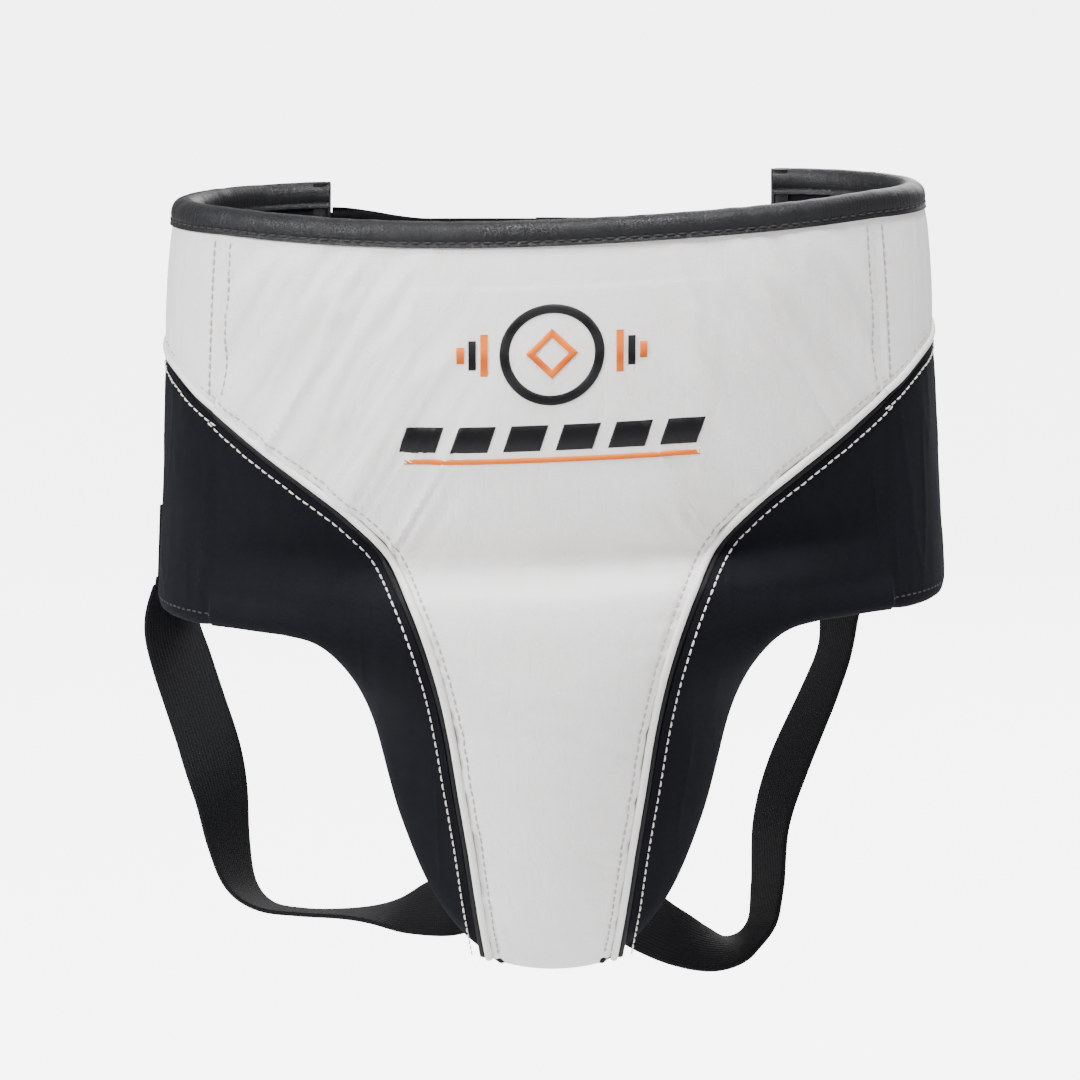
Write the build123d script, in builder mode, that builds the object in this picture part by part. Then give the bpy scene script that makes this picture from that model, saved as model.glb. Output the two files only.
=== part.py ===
# Padded groin and abdomen guard: a stiffened front pad with a hard cup, two folding waist wings,
# a rear closure strap and two elastic leg straps.
# Millimetres. +Z is up, the front faces -Y, and +X is to the right of someone facing the guard.
# The origin is the middle of the waist opening, level with the top edge.
from build123d import *
import os
from math import atan2, cos, hypot, pi, radians, sin, tan

os.makedirs("parts", exist_ok=True)

# ---- overall sizes ----
waist_half_width = 187.0  # origin to the outer face at the widest point
front_reach = 100.0  # origin to the outer face of the front arc
rear_reach = 93.0  # origin to the outer face of the wings' rear ends
side_radius = 78.0  # outer radius of each wing
front_height = 371.0  # top edge to the lowest point of the crotch
belt_height = 196.0  # top edge to the hem of the wings
rear_hem_rise = 24.0  # how much higher the hem is at the rear ends
ledge_drop = 184.0  # top edge to the ledge where the cup begins

# ---- layers, counted inwards from the outer face ----
skin = 1.6  # leather or suede
lining_cloth = 1.0
pad = 14.0  # whole thickness of the padded wall
layer_gap = 0.3  # air left between neighbouring layers
cup_wall = 3.0
cup_cover = 7.0  # foam between the skin and the cup
trim = 1.6  # thickness of the edge binding
binding_width = 11.0
piping_width = 3.4
welt_width = 2.6
piping_rise = 1.2  # how far the piping stands proud of the skin

# ---- folds and straps ----
fold_gap = 1.0  # clear gap at each fold line, at the outer face
fold_relief = 12.0  # degrees by which the pad falls back from the fold line
strap_width = 30.0
strap_thick = 2.0
strap_split = 0.6  # gap where a leg strap passes from the wing to the crotch
tab_length = 36.0
tab_thick = 1.8
hook_thick = 1.2
loop_thick = 1.0
tab_hem_gap = 8.0  # hem to the lower edge of a leg tab
left_tab_turn = 25.0  # degrees round the wing from the widest point
right_tab_turn = 62.0
closure_height = 75.0
closure_drop = 15.0  # top edge to the closure strap's upper edge
closure_thick = 2.4
elastic_length = 100.0
closure_end_length = 50.0
anchor_lap = 14.0  # closure strap sewn over the wing's end
closure_relief = 1.5  # each side of the closure strap's two fold lines, so that it can fold flat

# ---- worked out ----
side_x = waist_half_width - side_radius
side_y = rear_reach - side_radius
front_to_side = front_reach + side_y
front_radius = (front_to_side**2 + side_x**2 - side_radius**2) / (2 * (front_to_side - side_radius))
front_centre_y = front_radius - front_reach
fold_share = front_radius / (front_radius - side_radius)
fold_x = side_x * fold_share
fold_y = front_centre_y + (side_y - front_centre_y) * fold_share
fold_turn = atan2(fold_y - side_y, fold_x - side_x)
foam_near = skin + layer_gap
lining_near = pad - lining_cloth
foam_far = lining_near - layer_gap
cup_near = foam_near + cup_cover + layer_gap
cup_far = cup_near + cup_wall
edge_inset = trim + layer_gap
beyond = 30.0  # how far a cutting shape runs past what it cuts


def low(share):
    """A height below the ledge: 0 at the ledge, 1 at the lowest point."""
    return -(ledge_drop + share * (front_height - ledge_drop))


# The front wall, from top to crotch: height, outer face on the middle line, and its two side edges.
belt_edge = (fold_x, fold_y)
front_levels = [
    (0.0, -front_reach + 3.0, belt_edge),
    (-62.0, -front_reach - 2.0, belt_edge),
    (-114.0, -front_reach - 1.0, belt_edge),
    (-163.0, -front_reach + 8.0, belt_edge),
    (low(0.0), -front_reach - 4.0, belt_edge),
    (low(0.27), -front_reach - 6.0, (95.0, -40.0)),
    (low(0.57), -front_reach + 6.0, (80.0, -42.0)),
    (low(0.83), -front_reach + 28.0, (62.0, -46.0)),
    (low(1.03), -front_reach + 58.0, (46.0, -28.0)),
]

# The sewn line between the white leather and the suede, from the fold down to the crotch.
seam_line = [
    (fold_x, -92.0),
    (112.0, -124.0),
    (75.0, -157.0),
    (52.0, low(0.13)),
    (41.0, low(0.46)),
    (33.0, low(0.77)),
    (28.0, low(0.985)),
]
white_start = (fold_x + beyond, seam_line[0][1] + beyond / 2)
white_end = (seam_line[-1][0], -front_height - beyond)
white_line = [white_start] + seam_line + [white_end]
# The edge of the leg opening, from the hem down to the crotch.
leg_line = [
    (126.0, -belt_height),
    (104.0, -belt_height - 9.0),
    (90.0, -belt_height - 38.0),
    (77.0, low(0.53)),
    (61.0, low(0.74)),
    (41.0, low(0.91)),
    (26.0, low(0.98)),
]
# The outline of the hard cup, from the top middle round to the bottom middle.
cup_top = low(-0.02)
cup_bottom = low(0.86)
cup_line = [(44.0, cup_top - 7.0), (60.0, low(0.16)), (54.0, low(0.38)), (40.0, low(0.62)), (24.0, low(0.8))]
rim_width = 9.0  # foam round the cup
crotch_foam_top = low(0.8)  # below this the rim foam fills the whole crotch
belly_bottom = low(-0.09)  # the fold between the belly foam and the cup
# The same line round each wing, seen from the side: Y and height.
wing_seam_line = [(fold_y, -92.0), (-22.0, -77.0), (side_y, -66.0), (rear_reach, -58.0)]


# ---- shapes shared by the pieces ----
def let_out(points, amount):
    """A line of points moved sideways, to the left of its own direction, by one amount."""
    moved = []
    for number, (across, up) in enumerate(points):
        before = points[max(number - 1, 0)]
        after = points[min(number + 1, len(points) - 1)]
        run, rise = after[0] - before[0], after[1] - before[1]
        length = hypot(run, rise)
        moved.append((across - amount * rise / length, up + amount * run / length))
    return moved


def band_ends(level, depth, set_back):
    """The three points of one arc of a front section: left end, middle, right end."""
    height, middle_y, (edge_x, edge_y) = level
    rise = edge_y - middle_y
    radius = (edge_x**2 + rise**2) / (2 * rise)
    turn = atan2(edge_x, radius - rise) - set_back / (radius - depth)
    centre_y = middle_y + radius
    reach = radius - depth
    right = (reach * sin(turn), centre_y - reach * cos(turn))
    return (-right[0], right[1]), (0.0, centre_y - reach), right


def front_section(level, near, far):
    """One level of the front wall between two depths, as a sketch."""
    near_back = fold_gap + max(near, 0.0) * tan(radians(fold_relief))
    far_back = fold_gap + max(far, 0.0) * tan(radians(fold_relief))
    near_left, near_middle, near_right = band_ends(level, near, near_back)
    far_left, far_middle, far_right = band_ends(level, far, far_back)
    with BuildSketch(Plane.XY.offset(level[0])) as section:
        with BuildLine():
            ThreePointArc(near_left, near_middle, near_right)
            Line(near_right, far_right)
            ThreePointArc(far_right, far_middle, far_left)
            Line(far_left, near_left)
        make_face()
    return section.sketch


def front_sections(near, far, levels=front_levels):
    """Every level of the front wall between two depths."""
    return [front_section(level, near, far) for level in levels]


def body_outline(inset):
    """The front pad seen from the front, drawn in by an inset all round, below the top binding."""
    edge_line = let_out(leg_line, -inset)
    hem = edge_line[0][1]
    bottom = inset - front_height
    with BuildSketch(Plane.XZ) as outline:
        with BuildLine():
            Polyline((0.0, -edge_inset), (fold_x + beyond, -edge_inset), (fold_x + beyond, hem), edge_line[0])
            edge = Spline(edge_line, tangents=[(-1.0, 0.0), (-1.0, -0.35)])
            Line(edge @ 1, (0.0, bottom))
            mirror(about=Plane.YZ)
        make_face()
    return outline.sketch


def white_outline(grow):
    """The white leather seen from the front, let out by grow; it runs past the body all round."""
    edge_line = let_out(white_line, grow)
    with BuildSketch(Plane.XZ) as outline:
        with BuildLine():
            Polyline((0.0, beyond), (edge_line[0][0], beyond), edge_line[0])
            edge = Spline(edge_line)
            Line(edge @ 1, (0.0, edge_line[-1][1]))
            mirror(about=Plane.YZ)
        make_face()
    return outline.sketch


def cup_outline(grow):
    """The hard cup seen from the front, let out by grow."""
    flanks = let_out([(0.0, cup_top)] + cup_line + [(0.0, cup_bottom)], grow)[1:-1]
    with BuildSketch(Plane.XZ) as outline:
        with BuildLine():
            Spline([(0.0, cup_top + grow)] + flanks + [(0.0, cup_bottom - grow)], tangents=[(1, 0), (-1, 0)])
            mirror(about=Plane.YZ)
        make_face()
    return outline.sketch


def cup_zone(grow):
    """The cup with its rim foam, and the whole crotch below it, seen from the front."""
    low_top = crotch_foam_top + grow
    with BuildSketch(Plane.XZ) as zone:
        add(cup_outline(rim_width + grow))
        with Locations((0.0, low_top - front_height / 2)):
            Rectangle(waist_half_width, front_height)
    return zone.sketch


def half_space(side):
    """Everything on one side of the middle line, seen from the front."""
    with BuildSketch(Plane.XZ) as half:
        with Locations((side * waist_half_width, -front_height / 2)):
            Rectangle(2 * waist_half_width, 2 * front_height)
    return half.sketch


def height_band(top, bottom):
    """Everything between two heights, seen from the front."""
    with BuildSketch(Plane.XZ) as band:
        with Locations((0.0, (top + bottom) / 2)):
            Rectangle(2 * (waist_half_width + beyond), top - bottom)
    return band.sketch


def on_wing(side, turn, depth):
    """A plan point of a wing: turn in radians from its widest point, depth inwards from its outer face."""
    reach = side_radius - depth
    return (side * (side_x + reach * cos(turn)), side_y + reach * sin(turn))


def wing_band(side, near, far, start, finish, set_back=0.0):
    """A stretch of a wing between two depths and two turns, as a plan sketch at the lowest height."""
    middle = (start + finish) / 2
    near_start = start + set_back / (side_radius - near)
    far_start = start + set_back / (side_radius - far)
    with BuildSketch(Plane.XY.offset(-front_height)) as band:
        with BuildLine():
            ThreePointArc(
                on_wing(side, near_start, near), on_wing(side, middle, near), on_wing(side, finish, near)
            )
            Line(on_wing(side, finish, near), on_wing(side, finish, far))
            ThreePointArc(
                on_wing(side, finish, far), on_wing(side, middle, far), on_wing(side, far_start, far)
            )
            Line(on_wing(side, far_start, far), on_wing(side, near_start, near))
        make_face()
    return band.sketch


def side_band(upper, lower):
    """Everything between two lines of (Y, height), seen from the side."""
    with BuildSketch(Plane.YZ) as band:
        with BuildLine():
            top = Spline(upper)
            bottom = Spline(lower)
            Line(top @ 0, bottom @ 0)
            Line(top @ 1, bottom @ 1)
        make_face()
    return band.sketch


def keep_front(outline):
    """Keep what lies inside an outline drawn from the front."""
    extrude(outline, amount=2 * front_reach, mode=Mode.INTERSECT)


def cut_front(outline):
    """Cut away what lies inside an outline drawn from the front."""
    extrude(outline, amount=2 * front_reach, mode=Mode.SUBTRACT)


def keep_heights(top, bottom):
    """Keep what lies between two heights, on both sides of the guard's middle."""
    extrude(height_band(top, bottom), amount=2 * waist_half_width, both=True, mode=Mode.INTERSECT)


def keep_sides(upper, lower):
    """Keep what lies between two lines drawn from the side."""
    extrude(side_band(upper, lower), amount=2 * waist_half_width, both=True, mode=Mode.INTERSECT)


wing_end = pi / 2  # where each wing ends, as a turn
layer_end = wing_end - edge_inset / side_radius
end_strip = wing_end - binding_width / side_radius
piping_end = end_strip - layer_gap / side_radius
run_front = fold_y - beyond
run_rear = rear_reach + beyond
top_line = [(run_front, 0.0), (run_rear, 0.0)]
layer_top_line = [(run_front, -edge_inset), (run_rear, -edge_inset)]
binding_low_line = [(run_front, -binding_width), (run_rear, -binding_width)]
hem_line = [
    (run_front, -belt_height),
    (side_y, -belt_height),
    (0.6 * rear_reach, -belt_height + 0.3 * rear_hem_rise),
    (run_rear, -belt_height + 1.5 * rear_hem_rise),
]


def wing_seam(shift):
    """The white to suede line round a wing, moved up by shift."""
    first = (run_front, wing_seam_line[0][1] - 0.6 * beyond)
    last = (run_rear, wing_seam_line[-1][1] + 2.0)
    return let_out([first] + wing_seam_line + [last], shift)


# ==== front pad ====
with BuildPart() as front_leather:
    loft(sections=front_sections(0.0, skin), ruled=True)
    keep_front(body_outline(0.0))
    keep_front(white_outline(0.0))
front_leather.part.label = "front_leather"
export_step(front_leather.part, "parts/front_leather.step")

sides = (("left", -1), ("right", 1))
for name, side in sides:
    with BuildPart() as piping:
        loft(sections=front_sections(-piping_rise, skin), ruled=True)
        keep_front(body_outline(0.0))
        keep_front(half_space(side))
        keep_front(white_outline(layer_gap + piping_width))
        cut_front(white_outline(layer_gap))
    piping.part.label = f"{name}_front_piping"
    export_step(piping.part, f"parts/{name}_front_piping.step")

    welt_in = 2 * layer_gap + piping_width
    with BuildPart() as welt:
        loft(sections=front_sections(0.0, skin), ruled=True)
        keep_front(body_outline(0.0))
        keep_front(half_space(side))
        keep_front(white_outline(welt_in + welt_width))
        cut_front(white_outline(welt_in))
    welt.part.label = f"{name}_front_welt"
    export_step(welt.part, f"parts/{name}_front_welt.step")

    panel_in = welt_in + welt_width + layer_gap
    with BuildPart() as thigh_panel:
        loft(sections=front_sections(0.0, skin), ruled=True)
        keep_front(body_outline(0.0))
        keep_front(half_space(side))
        cut_front(white_outline(panel_in))
    thigh_panel.part.label = f"{name}_thigh_panel"
    export_step(thigh_panel.part, f"parts/{name}_thigh_panel.step")

# Foam: one slab over the belly, one over the cup, one beside the cup on each thigh.
foam_inset = 1.5
with BuildPart() as belly_foam:
    loft(sections=front_sections(foam_near, foam_far), ruled=True)
    keep_front(body_outline(foam_inset))
    keep_front(height_band(beyond, belly_bottom))
belly_foam.part.label = "belly_foam"
export_step(belly_foam.part, "parts/belly_foam.step")

with BuildPart() as cup_face_foam:
    loft(sections=front_sections(foam_near, foam_near + cup_cover), ruled=True)
    keep_front(body_outline(foam_inset))
    keep_front(cup_zone(0.0))
    keep_front(height_band(belly_bottom - layer_gap, -2 * front_height))
cup_face_foam.part.label = "cup_face_foam"
export_step(cup_face_foam.part, "parts/cup_face_foam.step")

with BuildPart() as cup_shell:
    loft(sections=front_sections(cup_near, cup_far), ruled=True)
    keep_front(cup_outline(0.0))
cup_shell.part.label = "cup_shell"
export_step(cup_shell.part, "parts/cup_shell.step")

with BuildPart() as cup_rim_pad:
    loft(sections=front_sections(cup_near, foam_far), ruled=True)
    keep_front(body_outline(foam_inset))
    keep_front(cup_zone(0.0))
    cut_front(cup_outline(layer_gap))
    keep_front(height_band(belly_bottom - layer_gap, -2 * front_height))
cup_rim_pad.part.label = "cup_rim_pad"
export_step(cup_rim_pad.part, "parts/cup_rim_pad.step")

for name, side in sides:
    with BuildPart() as thigh_foam:
        loft(sections=front_sections(foam_near, foam_far), ruled=True)
        keep_front(body_outline(foam_inset))
        keep_front(half_space(side))
        keep_front(height_band(belly_bottom - layer_gap, -2 * front_height))
        cut_front(cup_zone(layer_gap))
    thigh_foam.part.label = f"{name}_thigh_foam"
    export_step(thigh_foam.part, f"parts/{name}_thigh_foam.step")

with BuildPart() as front_lining:
    loft(sections=front_sections(lining_near, pad), ruled=True)
    keep_front(body_outline(0.0))
front_lining.part.label = "front_lining"
export_step(front_lining.part, "parts/front_lining.step")

top_levels = front_levels[:2]
with BuildPart() as bound_edge:
    loft(sections=front_sections(-layer_gap, pad + layer_gap, top_levels), ruled=True)
    keep_front(height_band(-trim, -front_height))
with BuildPart() as front_binding:
    loft(sections=front_sections(-trim, pad + trim, top_levels), ruled=True)
    keep_front(height_band(beyond, -binding_width))
    add(bound_edge.part, mode=Mode.SUBTRACT)
front_binding.part.label = "front_binding"
export_step(front_binding.part, "parts/front_binding.step")

# A plain stitched badge: a ring with a bar under it.
badge_drop = 67.0
badge_radius = 25.0
badge_line = 4.0
bar_length = 120.0
bar_height = 12.0
bar_gap = 8.0
with BuildSketch(Plane.XZ) as badge_shape:
    with Locations((0.0, -badge_drop)):
        Circle(badge_radius)
        Circle(badge_radius - badge_line, mode=Mode.SUBTRACT)
    with Locations((0.0, -badge_drop - badge_radius - bar_gap - bar_height / 2)):
        Rectangle(bar_length, bar_height)
with BuildPart() as emblem:
    loft(sections=front_sections(-2 * layer_gap, -layer_gap / 2), ruled=True)
    keep_front(badge_shape.sketch)
emblem.part.label = "emblem"
export_step(emblem.part, "parts/emblem.step")

# ==== wings ====
for name, side in sides:
    pieces = {}
    with BuildPart() as wing_leather:
        extrude(wing_band(side, 0.0, skin, fold_turn, layer_end, fold_gap / 2), amount=2 * front_height)
        keep_sides(layer_top_line, wing_seam(0.0))
    pieces["wing_leather"] = wing_leather

    with BuildPart() as wing_piping:
        piping_plan = wing_band(side, -piping_rise, skin, fold_turn, piping_end, fold_gap / 2)
        extrude(piping_plan, amount=2 * front_height)
        keep_sides(wing_seam(-layer_gap), wing_seam(-layer_gap - piping_width))
    pieces["wing_piping"] = wing_piping

    with BuildPart() as wing_suede:
        extrude(wing_band(side, 0.0, skin, fold_turn, layer_end, fold_gap / 2), amount=2 * front_height)
        keep_sides(wing_seam(-2 * layer_gap - piping_width), hem_line)
    pieces["wing_suede"] = wing_suede

    foam_hem = [(y, height + foam_inset) for y, height in hem_line]
    with BuildPart() as wing_foam:
        extrude(wing_band(side, foam_near, foam_far, fold_turn, layer_end, fold_gap), amount=2 * front_height)
        keep_sides(layer_top_line, foam_hem)
    pieces["wing_foam"] = wing_foam

    with BuildPart() as wing_lining:
        extrude(wing_band(side, lining_near, pad, fold_turn, layer_end, fold_gap), amount=2 * front_height)
        keep_sides(layer_top_line, hem_line)
    pieces["wing_lining"] = wing_lining

    inner_end = wing_end - trim / side_radius
    before_fold = fold_turn - binding_width / side_radius
    with BuildPart() as end_binding:
        extrude(wing_band(side, -trim, pad + trim, end_strip, wing_end), amount=2 * front_height)
        keep_sides(top_line, hem_line)
    with BuildPart() as bound_wing:
        inner_plan = wing_band(side, -layer_gap, pad + layer_gap, before_fold, inner_end)
        extrude(inner_plan, amount=2 * front_height)
        keep_heights(-trim, -front_height)
    with BuildPart() as wing_binding:
        extrude(wing_band(side, -trim, pad + trim, fold_turn, wing_end, fold_gap / 2), amount=2 * front_height)
        keep_sides(top_line, binding_low_line)
        add(end_binding.part)
        add(bound_wing.part, mode=Mode.SUBTRACT)
    pieces["wing_binding"] = wing_binding

    for piece, built in pieces.items():
        built.part.label = f"{name}_{piece}"
        export_step(built.part, f"parts/{name}_{piece}.step")

# ==== leg straps ====
# Each strap is a flat elastic band. It leaves its tab behind the hem, hangs beside the thigh, turns
# under it and is sewn behind the crotch. Each station is the band's middle and its width direction.
tab_low = -belt_height + tab_hem_gap
tab_depth = -(layer_gap + loop_thick + layer_gap + hook_thick + layer_gap)
strap_depth = tab_depth - tab_thick / 2
tab_clear = 1.2  # gap between a tab and the strap that continues below it
straight_start = 7.0  # length of strap below a tab before it begins to turn
anchor_half_width = 40.0
anchor_height = 32.0
anchor_thick = 3.0
anchor_level = low(0.83)
anchor_gap = 2.0  # anchor to strap end
strap_rest = 1.5  # lining to a strap where it lies behind the crotch
strap_inner = pad + strap_rest + anchor_thick / 2


def tab_stations(side, turn):
    """Two stations where a strap hangs straight down from its tab."""
    x, y = on_wing(side, radians(turn), strap_depth)
    across = (-side * sin(radians(turn)), cos(radians(turn)), 0.0)
    start = tab_low - tab_clear
    return [((x, y, start), across), ((x, y, start - straight_start), across)]


def behind_crotch(x, height):
    """A point on the middle of a strap that lies against the back of the crotch."""
    upper = [level for level in front_levels if level[0] >= height][-1]
    lower = [level for level in front_levels if level[0] < height][0]
    share = (upper[0] - height) / (upper[0] - lower[0])
    middle = upper[1] + share * (lower[1] - upper[1])
    edge_x = upper[2][0] + share * (lower[2][0] - upper[2][0])
    edge_y = upper[2][1] + share * (lower[2][1] - upper[2][1])
    rise = edge_y - middle
    radius = (edge_x**2 + rise**2) / (2 * rise)
    return x, middle + radius - ((radius - strap_inner) ** 2 - x**2) ** 0.5, height


strap_end_x = anchor_half_width + anchor_gap
left_wing_stations = tab_stations(-1, left_tab_turn) + [
    ((-187.0, 44.0, -belt_height - 22.0), (0.8, 0.6, 0.0)),
    ((-185.0, 37.0, -belt_height - 42.0), (0.96, 0.28, 0.0)),
]
left_crotch_stations = [
    ((-172.0, 26.0, low(0.42)), (0.98, 0.1, 0.2)),
    ((-160.0, 15.0, low(0.62)), (0.75, 0.6, 0.2)),
    ((-146.0, 4.0, low(0.74)), (0.35, 0.9, 0.2)),
    ((-122.0, -6.0, low(0.8)), (0.0, 1.0, 0.1)),
    ((-90.0, -13.0, low(0.815)), (0.0, 0.85, 0.5)),
    (behind_crotch(-57.0, low(0.815)), (0.1, -0.1, 1.0)),
    (behind_crotch(-strap_end_x, low(0.82)), (0.0, -0.5, 0.87)),
]
right_wing_stations = tab_stations(1, right_tab_turn) + [
    ((144.0, 80.0, -belt_height - 22.0), (-0.45, 0.89, 0.0)),
    ((136.0, 68.0, -belt_height - 42.0), (-0.3, 0.95, 0.1)),
]
right_crotch_stations = [
    ((119.0, 46.0, low(0.45)), (0.6, 0.8, 0.3)),
    ((108.0, 28.0, low(0.66)), (0.6, 0.8, 0.1)),
    ((101.0, 14.0, low(0.83)), (0.3, 0.9, -0.2)),
    ((86.0, 0.0, low(0.91)), (0.2, 0.7, 0.6)),
    ((68.0, -11.0, low(0.9)), (0.1, 0.2, 0.95)),
    (behind_crotch(54.0, low(0.855)), (0.0, -0.3, 0.95)),
    (behind_crotch(strap_end_x, low(0.84)), (0.0, -0.5, 0.87)),
]


def strap_sections(stations, before, after):
    """Rectangles across a strap at each station; before and after are the neighbours beyond its ends."""
    points = [before] + [station[0] for station in stations] + [after]
    sections = []
    for number, (place, across) in enumerate(stations):
        path = Vector(*points[number + 2]) - Vector(*points[number])
        run = path.normalized()
        level = Vector(*across)
        level = (level - run * level.dot(run)).normalized()
        with BuildSketch(Plane(origin=place, x_dir=level, z_dir=run)) as section:
            Rectangle(strap_width, strap_thick)
        sections.append(section.sketch)
    return sections


def split_section(first, second, drop):
    """A level section midway between two stations, moved down by drop: the place where two halves meet."""
    start, finish = Vector(*first[0]), Vector(*second[0])
    middle = (start + finish) * 0.5
    across = Vector(*first[1]).normalized() + Vector(*second[1]).normalized()
    level = Vector(across.X, across.Y, 0.0).normalized()
    place = (middle.X, middle.Y, middle.Z - drop)
    with BuildSketch(Plane(origin=place, x_dir=level, z_dir=(0.0, 0.0, -1.0))) as section:
        Rectangle(strap_width, strap_thick)
    return section.sketch


loops = (
    ("left", -1, left_tab_turn, left_wing_stations, left_crotch_stations),
    ("right", 1, right_tab_turn, right_wing_stations, right_crotch_stations),
)
for name, side, tab_turn, wing_stations, crotch_stations in loops:
    above = (wing_stations[0][0][0], wing_stations[0][0][1], tab_low)
    upper_split = split_section(wing_stations[-1], crotch_stations[0], -strap_split / 2)
    lower_split = split_section(wing_stations[-1], crotch_stations[0], strap_split / 2)
    with BuildPart() as strap_upper:
        loft(sections=strap_sections(wing_stations, above, crotch_stations[0][0]) + [upper_split], ruled=True)
    strap_upper.part.label = f"{name}_strap_upper"
    export_step(strap_upper.part, f"parts/{name}_strap_upper.step")

    inside = (0.0, crotch_stations[-1][0][1], crotch_stations[-1][0][2])
    with BuildPart() as strap_lower:
        sections = strap_sections(crotch_stations, wing_stations[-1][0], inside)
        loft(sections=[lower_split] + sections, ruled=True)
    strap_lower.part.label = f"{name}_strap_lower"
    export_step(strap_lower.part, f"parts/{name}_strap_lower.step")

    # The tab: a loop patch on the suede, hook tape on it, and the doubled end of the strap over that.
    patch_margin = 8.0
    half_turn = strap_width / 2 / side_radius
    patch_turn = half_turn + patch_margin / side_radius
    middle_turn = radians(tab_turn)
    tab_pieces = (
        ("tab_loop", layer_gap, loop_thick, patch_turn, patch_margin),
        ("tab_hook", 2 * layer_gap + loop_thick, hook_thick, half_turn, 0.0),
        ("leg_tab", -tab_depth, tab_thick, half_turn, 0.0),
    )
    for piece, rise, thickness, reach, margin in tab_pieces:
        with BuildPart() as tab_piece:
            extrude(
                wing_band(side, -rise - thickness, -rise, middle_turn - reach, middle_turn + reach),
                amount=2 * front_height,
            )
            keep_heights(tab_low + tab_length + margin, tab_low - margin)
        tab_piece.part.label = f"{name}_{piece}"
        export_step(tab_piece.part, f"parts/{name}_{piece}.step")

# The webbing behind the crotch that both leg straps are sewn to.
with BuildSketch(Plane.XZ) as anchor_shape:
    with Locations((0.0, anchor_level)):
        Rectangle(2 * anchor_half_width, anchor_height)
    fillet(anchor_shape.vertices(), radius=anchor_height / 5)
with BuildPart() as crotch_anchor:
    loft(sections=front_sections(pad + layer_gap, pad + layer_gap + anchor_thick), ruled=True)
    keep_front(anchor_shape.sketch)
crotch_anchor.part.label = "crotch_anchor"
export_step(crotch_anchor.part, "parts/crotch_anchor.step")

# ==== rear closure ====
closure_top = -closure_drop
closure_y = rear_reach + trim + layer_gap
closure_start = -side_x
elastic_end = closure_start + elastic_length
closure_bow = 5.0  # how far the strap bows to the rear


def closure_band(near, far, start, finish):
    """A stretch of the closure strap in plan, between two depths to the rear of its inner face."""
    reach = elastic_length + closure_end_length
    radius = reach**2 / (8 * closure_bow) + closure_bow / 2
    centre = (closure_start + reach / 2, closure_y + closure_bow - radius)

    def point(x, rise):
        turn = (x - centre[0]) / radius
        return centre[0] + (radius + rise) * sin(turn), centre[1] + (radius + rise) * cos(turn)

    middle = (start + finish) / 2
    with BuildSketch(Plane.XY.offset(closure_top - closure_height)) as band:
        with BuildLine():
            ThreePointArc(point(start, near), point(middle, near), point(finish, near))
            Line(point(finish, near), point(finish, far))
            ThreePointArc(point(finish, far), point(middle, far), point(start, far))
            Line(point(start, far), point(start, near))
        make_face()
    return band.sketch


end_corner = 10.0
patch_inset = 6.0
with BuildPart() as closure_elastic:
    extrude(
        closure_band(0.0, closure_thick, closure_start + closure_relief, elastic_end - closure_relief),
        amount=closure_height,
    )
closure_elastic.part.label = "closure_elastic"
export_step(closure_elastic.part, "parts/closure_elastic.step")

closure_end = elastic_end + closure_end_length
with BuildPart() as closure_tab:
    extrude(
        closure_band(0.0, closure_thick, elastic_end + closure_relief, closure_end),
        amount=closure_height,
    )
    upright = closure_tab.edges().filter_by(Axis.Y, tolerance=20.0).group_by(Axis.X)[-1]
    fillet(upright, radius=end_corner)
closure_tab.part.label = "closure_tab"
export_step(closure_tab.part, "parts/closure_tab.step")

with BuildPart() as closure_hook:
    extrude(
        closure_band(
            -layer_gap - hook_thick, -layer_gap, elastic_end + patch_inset, closure_end - patch_inset
        ),
        amount=closure_height,
    )
    keep_heights(closure_top - patch_inset, closure_top - closure_height + patch_inset)
closure_hook.part.label = "closure_hook"
export_step(closure_hook.part, "parts/closure_hook.step")

# The closure strap's sewn end on the left wing, and the loop panel on the right wing.
anchor_turn = anchor_lap / side_radius
loop_length = 70.0
for label, side, start, thickness in (
    ("closure_anchor", -1, wing_end - anchor_turn, closure_thick),
    ("closure_loop", 1, wing_end - (loop_length + binding_width) / side_radius, loop_thick),
):
    on_left = side < 0
    rise = (trim if on_left else piping_rise) + layer_gap
    short_by = closure_relief if on_left else binding_width + layer_gap
    finish = wing_end - short_by / side_radius
    with BuildPart() as panel:
        extrude(wing_band(side, -rise - thickness, -rise, start, finish), amount=2 * front_height)
        keep_heights(closure_top, closure_top - closure_height)
    panel.part.label = label
    export_step(panel.part, f"parts/{label}.step")
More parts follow.
